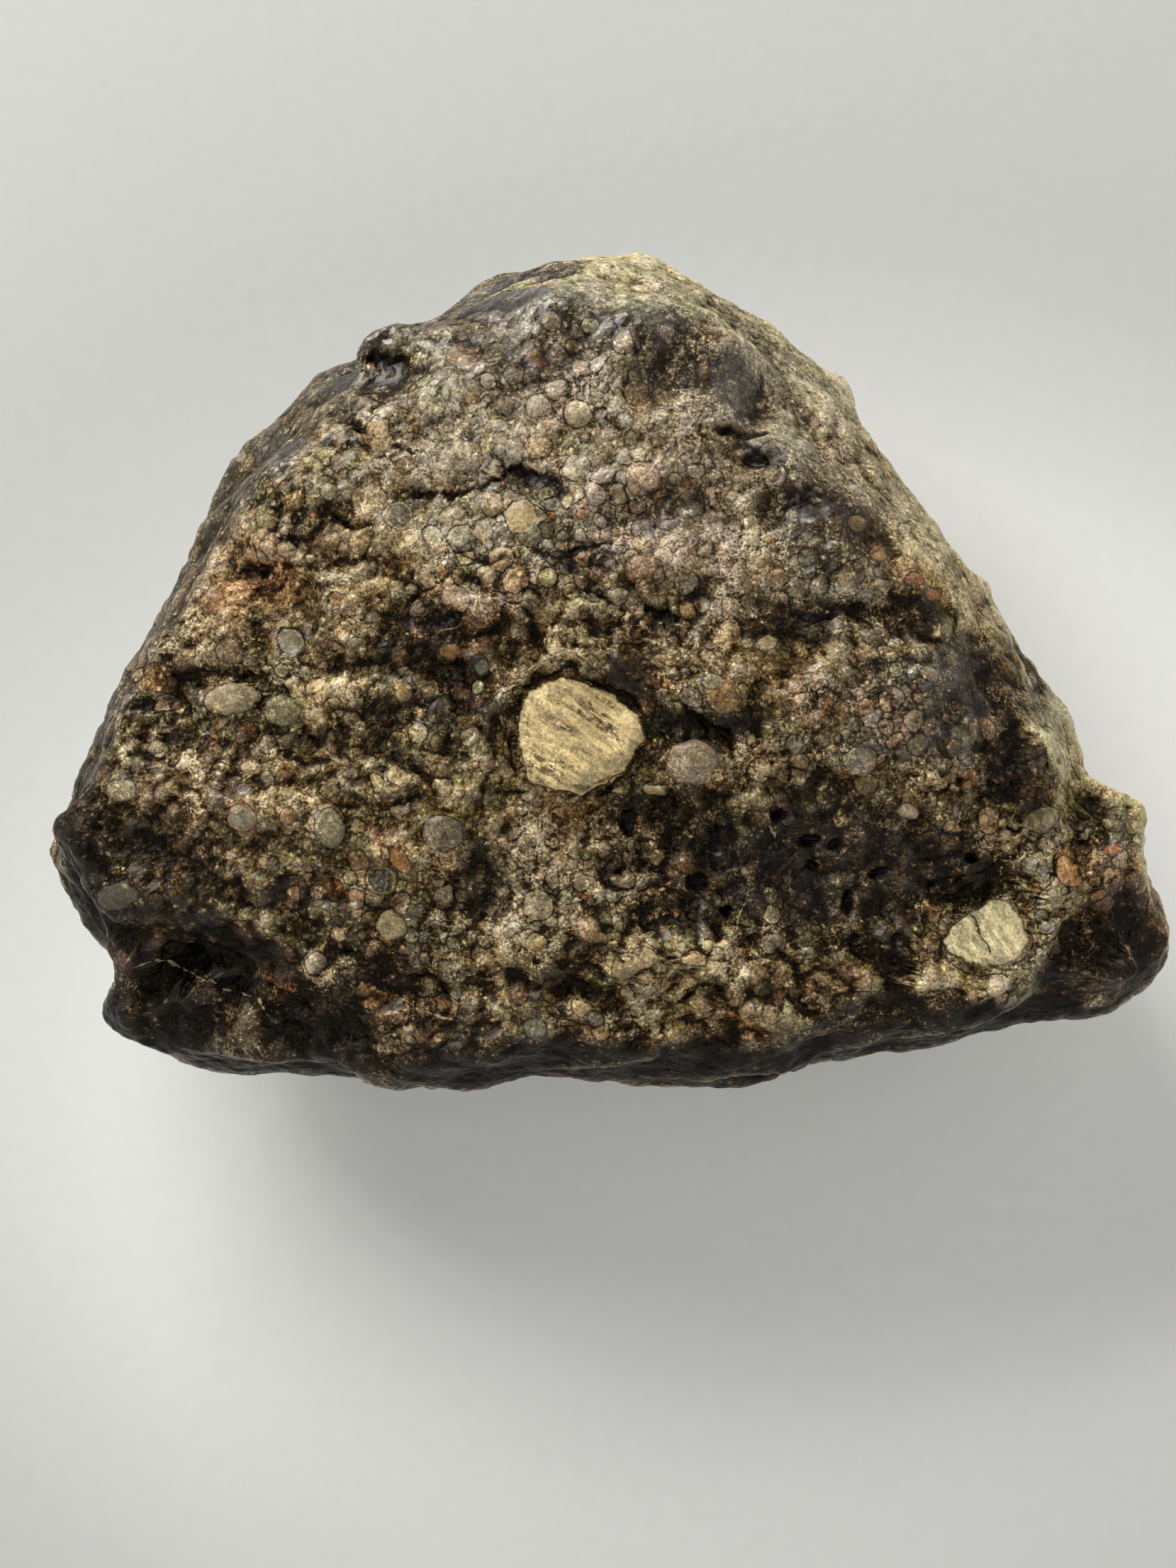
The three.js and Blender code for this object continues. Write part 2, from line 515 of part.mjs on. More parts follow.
const stoneMaterial = new THREE.MeshStandardMaterial({
  color: STONE_COLOUR,
  roughness: STONE_ROUGHNESS,
  metalness: 0,
});

const meteorite = new THREE.Mesh(stoneGeometry(), stoneMaterial);
meteorite.name = 'meteorite';

const model = new THREE.Group();
model.add(meteorite);

export default model;
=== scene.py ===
import math

import bmesh
import bpy
import numpy as np
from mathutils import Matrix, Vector, noise


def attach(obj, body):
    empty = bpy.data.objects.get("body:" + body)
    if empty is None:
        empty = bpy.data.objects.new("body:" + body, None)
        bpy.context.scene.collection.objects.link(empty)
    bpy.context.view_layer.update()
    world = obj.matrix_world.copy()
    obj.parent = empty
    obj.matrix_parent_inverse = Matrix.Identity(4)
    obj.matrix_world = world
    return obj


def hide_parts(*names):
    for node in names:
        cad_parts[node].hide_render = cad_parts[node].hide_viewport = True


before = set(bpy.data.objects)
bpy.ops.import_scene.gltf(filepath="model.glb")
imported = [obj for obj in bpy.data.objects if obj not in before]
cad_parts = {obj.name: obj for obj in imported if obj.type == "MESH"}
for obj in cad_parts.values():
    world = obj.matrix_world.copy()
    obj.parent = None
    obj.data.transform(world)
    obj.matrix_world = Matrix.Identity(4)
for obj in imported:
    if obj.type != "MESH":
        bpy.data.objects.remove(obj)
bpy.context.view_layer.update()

# --- The camera -----------------------------------------------------------------------------
# It stands over the stone's front edge and looks down on the broken face, ten degrees off the
# plumb line, from a hand's length and a half away.
MM = 0.001
CAMERA_AIM = np.array((-1.2, -6.85, 12.5))
CAMERA_DISTANCE = 170.0
CAMERA_LEAN = math.radians(10)
SENSOR = 36.0
LENS = 66.95
FORWARD = np.array((0.0, math.sin(CAMERA_LEAN), -math.cos(CAMERA_LEAN)))
UPWARD = np.array((0.0, math.cos(CAMERA_LEAN), math.sin(CAMERA_LEAN)))
CAMERA_PLACE = CAMERA_AIM - CAMERA_DISTANCE * FORWARD

camera = bpy.data.objects.new("camera", bpy.data.cameras.new("camera"))
camera.data.sensor_width = SENSOR
camera.data.lens = LENS
camera.data.clip_start = 0.01
camera.data.clip_end = 10.0
camera.location = CAMERA_PLACE * MM
camera.rotation_euler = (CAMERA_LEAN, 0.0, 0.0)
bpy.context.scene.collection.objects.link(camera)
bpy.context.scene.camera = camera

# --- The stone: its mesh --------------------------------------------------------------------
# One solid of ordinary chondrite, broken from a larger stone and handled smooth. The CAD
# solid is copied, cut finer and eased, so that the relief has points to stand on.
CUTS = 3  # each edge of the CAD solid is cut into four
EASING_PASSES = 7
WELD_DISTANCE = 0.002

stone_mesh = bpy.data.meshes.new("chondrite")
shape = bmesh.new()
shape.from_mesh(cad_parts["meteorite"].data)
bmesh.ops.remove_doubles(shape, verts=shape.verts, dist=WELD_DISTANCE * MM)
bmesh.ops.subdivide_edges(shape, edges=shape.edges, cuts=CUTS, use_grid_fill=True)
bmesh.ops.triangulate(shape, faces=shape.faces)
shape.to_mesh(stone_mesh)
shape.free()

point_count = len(stone_mesh.vertices)
edges = np.empty(len(stone_mesh.edges) * 2, np.int32)
stone_mesh.edges.foreach_get("vertices", edges)
edges = edges.reshape(-1, 2)
both_ways = np.concatenate((edges, edges[:, ::-1]))
both_ways = both_ways[np.argsort(both_ways[:, 0], kind="stable")]
first_neighbour = np.searchsorted(both_ways[:, 0], np.arange(point_count))
neighbours = both_ways[:, 1]
valence = np.diff(np.append(first_neighbour, len(both_ways)))


def read_points(mesh):
    """The places of a mesh's points, in millimetres, and the way each faces."""
    places = np.empty(len(mesh.vertices) * 3, np.float32)
    mesh.vertices.foreach_get("co", places)
    facing = np.empty(len(mesh.vertices) * 3, np.float32)
    mesh.vertex_normals.foreach_get("vector", facing)
    return places.reshape(-1, 3).astype(float) / MM, facing.reshape(-1, 3).astype(float)


def evened(values, passes):
    """Values of the stone's points, spread out over their neighbours."""
    shares = valence if values.ndim == 1 else valence[:, None]
    for _ in range(passes):
        around = np.add.reduceat(values[neighbours], first_neighbour, axis=0) / shares
        values = (values + around) / 2
    return values


places, facing = read_points(stone_mesh)
resting = places[:, 2] < WELD_DISTANCE
eased = evened(places, EASING_PASSES)
eased[resting, 2] = 0.0
places = eased
stone_mesh.vertices.foreach_set("co", (places * MM).astype(np.float32).ravel())
stone_mesh.update()
places, facing = read_points(stone_mesh)

# --- The stone: what the breaking left on its face -------------------------------------------
# Places on the broken face are given in millimetres across and up, as they lie along the
# camera's line of sight. Every point of the mesh carries its own.
SIGHT_STRETCH = 1.0124
SIGHT_SHIFT = np.array((1.178, 6.715))
RIM_LEVEL = 10.0  # how high the broken face begins, above the floor
RIM_FADE = 3.0
FACE_FADE = (0.05, 0.25)  # from edge-on to well in sight
FAR = 9.0  # farther off than any mark of the face reaches

from_camera = places - CAMERA_PLACE
depth = from_camera @ FORWARD
across = from_camera[:, 0] / depth * CAMERA_DISTANCE
upward = (from_camera @ UPWARD) / depth * CAMERA_DISTANCE
sight = (np.stack((across, upward), axis=1) - SIGHT_SHIFT) / SIGHT_STRETCH
to_camera = -from_camera / np.linalg.norm(from_camera, axis=1)[:, None]
seen = np.einsum("ij,ij->i", facing, to_camera)
on_face = np.clip((seen - FACE_FADE[0]) / (FACE_FADE[1] - FACE_FADE[0]), 0, 1)
on_face *= np.clip((places[:, 2] - RIM_LEVEL) / RIM_FADE, 0, 1)


WANDER_SEED = 7
noise.seed_set(WANDER_SEED)  # without it the edges would stray another way each time


def wander(size, reach, shift=0.0):
    """How far each point strays, so that the given shapes get natural edges."""
    turns = [noise.noise_vector(Vector(place / size + shift)) for place in places]
    return np.array(turns) * reach


def in_frame(points, middle, bearing):
    """How far points lie along a bearing and aside of it, from a middle."""
    turn = math.radians(bearing)
    dx = points[:, 0] - middle[0]
    dy = points[:, 1] - middle[1]
    return (
        dx * math.cos(turn) + dy * math.sin(turn),
        dy * math.cos(turn) - dx * math.sin(turn),
    )


def to_ellipse(points, middle, half, bearing=0):
    """Distance from an ellipse's edge in millimetres, negative inside it."""
    along, aside = in_frame(points, middle, bearing)
    reach = np.hypot(along / half[0], aside / half[1])
    return (reach - 1) * min(half)


def to_line(points, line):
    """Distance from a bent line, signed by its side, and how far along it, from 0 to 1."""
    line = np.array(line, float)
    lengths = np.hypot(*np.diff(line, axis=0).T)
    before = np.concatenate(([0], np.cumsum(lengths)))
    best = np.full(len(points), 1e9)
    side = np.ones(len(points))
    along = np.zeros(len(points))
    for i, length in enumerate(lengths):
        way = (line[i + 1] - line[i]) / length
        held = np.clip((points - line[i]) @ way, 0, length)
        aside = points - line[i] - held[:, None] * way
        off = np.hypot(*aside.T)
        nearer = off < best
        side = np.where(nearer, np.sign(way[0] * aside[:, 1] - way[1] * aside[:, 0]), side)
        best = np.where(nearer, off, best)
        along = np.where(nearer, (before[i] + held) / before[-1], along)
    return best * side, along


def to_outline(points, outline):
    """Distance from a closed outline, negative inside it."""
    corners = np.array(outline, float)
    off = np.abs(to_line(points, np.vstack((corners, corners[:1])))[0])
    inside = np.zeros(len(points), bool)
    for (ax, ay), (bx, by) in zip(corners, np.roll(corners, -1, axis=0)):
        if ay == by:
            continue
        spans = (ay > points[:, 1]) != (by > points[:, 1])
        inside ^= spans & (points[:, 0] < (bx - ax) * (points[:, 1] - ay) / (by - ay) + ax)
    return np.where(inside, -off, off)


def step(values, low, high):
    """Rises softly from 0 at low to 1 at high."""
    part = np.clip((values - low) / (high - low), 0, 1)
    return part * part * (3 - 2 * part)


def linear(code):
    """The linear colour of an sRGB hex value."""
    parts = [int(code[i : i + 2], 16) / 255 for i in (1, 3, 5)]
    return (*(c / 12.92 if c <= 0.04045 else ((c + 0.055) / 1.055) ** 2.4 for c in parts), 1.0)


# Clasts that stand out from the rest: a middle and half sizes, or an outline; colour; and where
# they differ from the usual one, bearing, rim, how far they stand proud in mm, and fibres.
TAN = "#cab584"
MAUVE = "#8f7c69"
PALE_TAN = "#a8946b"
SLATE = "#343c3f"
OLIVE = "#c9bd92"
CREAM = "#a39a84"
ORANGE_TAN = "#a06d3c"
GREAT_CLAST = [
    (-2.5, -0.4), (-1.5, -0.7), (-0.7, -1.1), (0.3, -1.4), (0.9, -2.1), (1.6, -2.6),
    (2.2, -4.0), (1.5, -4.8), (0.9, -5.8), (0.1, -6.4), (-1.5, -7.3), (-3.2, -7.0),
    (-4.2, -6.6), (-4.9, -5.8), (-5.1, -4.3), (-5.2, -3.1), (-4.9, -1.9), (-4.4, -1.2),
    (-3.4, -0.7),
]
OVAL_CLAST = [
    (20.0, -14.7), (21.0, -13.9), (22.1, -13.3), (23.0, -13.4), (23.9, -14.4), (24.3, -15.6),
    (23.6, -16.7), (22.4, -17.2), (20.9, -16.9), (19.6, -16.2), (19.2, -15.5),
]
CLASTS = [
    (GREAT_CLAST, None, TAN, {"proud": 0.35, "fibres": 1.0}),
    (OVAL_CLAST, None, OLIVE, {"proud": 0.25, "fibres": 1.0, "fibre_bearing": -62}),
    ((4.8, -5.4), (1.55, 1.35), MAUVE, {"proud": 0.2}),
    ((2.7, -7.0), (0.75, 0.35), PALE_TAN, {"bearing": -8, "proud": 0.15}),
    ((-5.0, 8.8), (0.95, 1.0), PALE_TAN, {"proud": 0.1, "fibres": 0.7}),
    ((-12.1, 8.8), (0.9, 0.9), SLATE, {"proud": 0.12, "rim": PALE_TAN}),
    ((-13.1, -12.2), (0.88, 0.9), SLATE, {"proud": 0.18, "rim": PALE_TAN}),
    ((-12.0, -11.0), (0.9, 0.55), ORANGE_TAN, {"bearing": -55}),
    ((-14.5, -13.1), (0.5, 0.4), ORANGE_TAN),
    ((-14.6, 11.3), (0.35, 0.3), CREAM),
    ((-21.3, 12.3), (0.42, 0.36), CREAM),
    ((-21.75, -1.7), (1.6, 0.95), "#a18f6e", {"bearing": 8, "proud": 0.12}),
    ((-18.8, -2.4), (1.1, 0.9), "#7d7658", {"proud": 0.08}),
    ((-21.1, -8.6), (0.85, 0.8), "#8f8d7a", {"rim": "#a5794a"}),
    ((-18.5, -8.5), (0.45, 0.5), "#8a6238"),
    ((-15.6, 4.0), (0.5, 0.45), "#8d6843"),
    ((-22.8, 3.8), (0.8, 0.7), "#70432d"),
    ((-21.8, 1.0), (0.8, 0.75), "#5b4a38"),
    ((-18.3, 1.6), (0.8, 0.75), "#6f6854", {"rim": "#968c70"}),
    ((-28.1, -7.0), (0.9, 0.7), "#9a8f6e"),
    ((-12.5, -14.8), (0.88, 0.9), "#a0926e", {"proud": 0.1}),
    ((-16.1, -9.2), (0.9, 1.3), "#7d7c60", {"bearing": 20}),
    ((-9.6, -2.1), (0.65, 0.6), "#544c40", {"rim": "#2c2620"}),
    ((-9.5, -9.5), (1.3, 1.1), "#4a4843", {"proud": 0.15}),
    ((-10.1, 7.7), (0.62, 0.6), "#8b8468"),
    ((-8.6, 7.7), (0.7, 0.65), "#928b6e"),
    ((-7.2, 8.0), (0.6, 0.65), "#858068"),
    ((-7.3, 0.1), (0.5, 0.45), "#6a6c57"),
    ((-9.1, 1.0), (0.55, 0.5), "#80592f"),
    ((6.0, -0.7), (0.6, 0.55), "#8d8570"),
    ((-10.6, -15.5), (0.42, 0.4), SLATE),
    ((17.7, 5.2), (0.65, 0.4), "#7a3a26"),
    ((18.7, 4.3), (0.5, 0.4), "#a5632c"),
    ((15.6, 6.7), (0.6, 0.5), "#83552f"),
    ((14.4, 8.4), (0.6, 0.55), "#8a6c47", {"proud": 0.1}),
    ((17.1, 8.1), (0.5, 0.35), PALE_TAN),
    ((9.1, 1.5), (0.8, 0.42), PALE_TAN, {"bearing": 12}),
    ((11.5, 6.3), (0.7, 0.65), "#5b5a52", {"rim": "#3a352e"}),
    ((14.5, -5.3), (1.0, 0.85), "#857c6a", {"bearing": 30, "proud": 0.1}),
    ((17.3, -8.3), (0.62, 0.5), "#a5927a", {"bearing": -20, "fibres": 0.8}),
    ((-28.3, -13.1), (1.2, 0.85), "#655f4c", {"bearing": 10, "proud": 0.12}),
    ((-4.2, -20.7), (0.7, 0.6), "#878576", {"proud": 0.1}),
    ((25.0, -8.7), (1.2, 0.7), "#74684c", {"bearing": 25}),
    ((22.8, -8.9), (0.32, 0.3), "#b39a66"),
    ((23.5, -9.1), (0.3, 0.32), "#a88d5c"),
    ((22.9, -9.6), (0.33, 0.3), "#b8a071"),
    ((23.6, -9.9), (0.34, 0.33), "#a98f60"),
    ((24.1, -9.5), (0.28, 0.3), "#b0996b"),
    ((23.1, -10.3), (0.3, 0.3), "#a48858"),
    ((28.9, -10.4), (0.7, 0.35), "#9c5a2c", {"bearing": 22}),
    ((27.9, -11.7), (0.35, 0.3), "#8f552d"),
]

# Dark, porous bands in the two large clasts: middle, half sizes, bearing, strength.
CLAST_BANDS = [
    ((-0.6, -2.9), (1.6, 0.55), -40, 1.0), ((-2.8, -3.3), (1.5, 0.35), -28, 0.55),
    ((-3.6, -5.9), (1.3, 0.75), -30, 0.8), ((0.7, -4.6), (0.9, 0.12), -80, 0.7),
    ((-1.2, -6.6), (1.6, 0.25), 20, 0.6), ((-3.2, -1.4), (0.8, 0.25), -20, 0.5),
    ((-0.2, -1.9), (0.9, 0.2), -30, 0.6), ((-2.2, -2.4), (1.6, 0.15), -32, 0.6),
    ((-4.7, -3.6), (0.25, 1.4), 0, 0.5), ((-1.4, -4.9), (1.2, 0.18), -35, 0.5),
    ((-2.4, -5.6), (0.7, 0.3), -40, 0.6), ((0.2, -5.6), (0.8, 0.15), -50, 0.5),
    ((20.2, -15.2), (1.0, 0.7), -45, 0.4), ((21.5, -15.3), (1.4, 0.12), -60, 0.9),
]
USUAL_CLAST = {"bearing": 0, "proud": 0.04, "fibres": 0.0, "fibre_bearing": -35}
FIBRE_STRETCH = 0.22  # fibres run four to five times as long as they are wide
FIBRE_SINK = 0.3

strayed = sight + wander(0.9, 0.2, 4.0)[:, :2] + wander(0.4, 0.1, 7.0)[:, :2]
clast_band = np.zeros(point_count)
for middle, half, bearing, strength in CLAST_BANDS:
    along, aside = in_frame(strayed, middle, bearing)
    reach = np.hypot(along / half[0], aside / half[1])
    clast_band = np.maximum(clast_band, strength * step(-reach, -1.4, -0.6))
clast_edge = np.full(point_count, FAR)
clast_colour = np.zeros((point_count, 4))
clast_rim = np.zeros((point_count, 4))
clast_fibres = np.zeros(point_count)
clast_rise = np.zeros(point_count)
fibre_place = places.copy()
for at, half, tone, *more in CLASTS:
    traits = {**USUAL_CLAST, "rim": tone, **dict(*more)}
    if half is None:
        off = to_outline(strayed, at)
    else:
        off = to_ellipse(strayed, at, half, traits["bearing"])
    nearer = off < clast_edge
    clast_edge = np.where(nearer, off, clast_edge)
    clast_colour[nearer] = linear(tone)
    clast_rim[nearer] = linear(traits["rim"])
    clast_fibres[nearer] = traits["fibres"]
    along, aside = in_frame(sight, (0, 0), traits["fibre_bearing"])
    drawn_out = np.stack((FIBRE_STRETCH * along, aside, FIBRE_SINK * places[:, 2]), axis=1)
    fibre_place[nearer] = drawn_out[nearer]
    clast_rise = np.maximum(clast_rise, traits["proud"] * step(-off, -0.1, 0.6))
clast_edge = np.where(on_face > 0.3, clast_edge, FAR)

# Cracks and slits, each a bent line with its depth and half width in mm.
CRACKS = [
    ([(-5.3, -1.5), (-4.1, -0.8), (-3.0, -0.3), (-2.2, 0.05), (-1.1, -0.6), (0.1, -1.2),
      (1.3, -1.9), (2.2, -3.1)], 0.25, 0.14),
    ([(4.2, -2.6), (5.4, -3.2), (6.6, -3.7), (7.2, -4.2), (7.2, -5.4)], 0.35, 0.13),
    ([(2.4, -4.2), (1.4, -5.4), (0.4, -6.6), (-0.8, -7.3)], 0.25, 0.1),
    ([(-5.5, -3.4), (-5.6, -5.0), (-5.1, -6.6)], 0.2, 0.08),
    ([(-14.2, 18.1), (-13.3, 17.7), (-12.3, 17.7), (-11.6, 18.1)], 0.4, 0.22),
    ([(-12.0, 10.2), (-9.0, 10.0), (-7.0, 10.6), (-5.5, 11.6), (-3.0, 10.8), (-2.8, 9.6)], 0.25, 0.07),
    ([(6.0, 13.7), (7.5, 13.6), (9.3, 13.5)], 0.3, 0.08),
    ([(-23.6, -0.1), (-21.8, -0.35), (-20.3, -0.5)], 0.35, 0.13),
    ([(2.1, 3.4), (3.4, 3.2), (4.2, 2.8)], 0.3, 0.13),
    ([(-21.3, 5.8), (-20.5, 5.5), (-19.6, 5.8)], 0.3, 0.15),
    ([(-14.8, 14.3), (-14.0, 13.7)], 0.25, 0.1),
    ([(-12.5, 13.0), (-11.0, 12.3)], 0.25, 0.1),
    ([(8.0, 12.6), (8.4, 12.1), (9.2, 12.0)], 0.5, 0.25),
    ([(-24.0, -15.6), (-21.8, -16.8), (-20.0, -17.4)], 0.4, 0.25),
    ([(24.2, -13.8), (25.6, -12.2), (25.9, -10.4)], 0.25, 0.1),
    ([(20.8, -14.0), (21.5, -15.4), (22.1, -16.6)], 0.2, 0.08),
    ([(18.9, -15.3), (19.6, -16.7), (21.0, -17.4), (22.6, -17.5)], 0.2, 0.08),
    ([(-8.9, 7.2), (-8.0, 6.5), (-6.9, 6.2), (-5.6, 6.6)], 0.2, 0.06),
    ([(-4.6, 6.9), (-3.0, 6.4), (-1.2, 7.0), (0.6, 7.4)], 0.25, 0.08),
    ([(-19.0, -4.9), (-17.4, -5.4), (-15.9, -5.2)], 0.2, 0.07),
    ([(10.4, 3.4), (11.8, 2.9), (13.4, 3.1)], 0.25, 0.09),
    ([(-16.2, 8.8), (-14.7, 8.2), (-13.2, 8.4)], 0.2, 0.06),
]
crack_side = np.full(point_count, FAR)
crack_share = np.zeros(point_count)
crack_fall = np.zeros(point_count)
for line, fall, half_width in CRACKS:
    side, along = to_line(strayed, line)
    off = np.abs(side)
    ends = step(np.minimum(along, 1 - along), 0.0, 0.12)
    crack_fall = np.maximum(crack_fall, fall * ends * np.exp(-((off / (half_width + 0.12)) ** 2)))
    nearer = off < np.abs(crack_side)
    crack_side = np.where(nearer, side, crack_side)
    crack_share = np.where(nearer, half_width * ends * step(-off, -0.9, -0.5), crack_share)

# Black pits in the dark hollow: middle and half sizes.
PITS = [
    ((9.9, -8.5), (0.35, 0.2)), ((11.5, -9.9), (0.55, 0.22)), ((13.0, -10.2), (0.32, 0.25)),
    ((11.7, -11.3), (0.2, 0.2)), ((15.6, -11.8), (0.35, 0.18)), ((13.9, -13.3), (0.22, 0.4)),
    ((18.8, -12.4), (0.25, 0.22)), ((6.0, -10.3), (0.45, 0.25)), ((1.2, -8.7), (0.35, 0.6)),
    ((6.8, -13.9), (0.2, 0.2)), ((21.0, -11.0), (0.2, 0.2)), ((5.2, -12.2), (0.6, 0.5)),
]
pit_edge = np.full(point_count, FAR)
for middle, half in PITS:
    pit_edge = np.minimum(pit_edge, to_ellipse(strayed, middle, half))
pit_fall = 0.45 * step(-pit_edge, -0.25, 0.15)

# Pale veins, each a bent line with its half width.
VEINS = [
    ([(7.9, -5.0), (8.7, -7.2), (9.2, -8.4), (9.8, -10.3)], 0.10),
    ([(8.1, -12.5), (7.5, -14.5), (7.3, -16.0)], 0.08),
    ([(-2.0, -11.0), (-1.0, -13.0), (-0.3, -15.0)], 0.07),
    ([(4.5, -15.8), (5.8, -16.0), (7.0, -15.8)], 0.08),
    ([(2.6, 13.6), (1.7, 12.9), (0.8, 12.4)], 0.06),
    ([(-27.8, -17.2), (-25.4, -16.8), (-22.6, -18.2), (-20.2, -18.9), (-19.2, -20.7)], 0.12),
    ([(-13.1, -19.8), (-11.0, -19.5), (-9.6, -20.2), (-8.1, -20.1)], 0.09),
    ([(2.2, 3.1), (3.2, 2.75), (4.4, 2.4)], 0.08),
    ([(-23.2, -0.6), (-21.6, -0.8), (-20.4, -0.9)], 0.08),
    ([(-7.9, 3.2), (-8.8, 2.4), (-9.9, 1.9)], 0.04),
    ([(6.2, -4.6), (7.0, -6.2), (7.6, -7.4)], 0.06),
]
vein_side = np.full(point_count, FAR)
vein_share = np.zeros(point_count)
for line, half_width in VEINS:
    side, along = to_line(strayed, line)
    off = np.abs(side)
    nearer = off < np.abs(vein_side)
    vein_side = np.where(nearer, side, vein_side)
    ends = step(np.minimum(along, 1 - along), 0.0, 0.15)
    vein_share = np.where(nearer, half_width * ends * step(-off, -0.9, -0.5), vein_share)
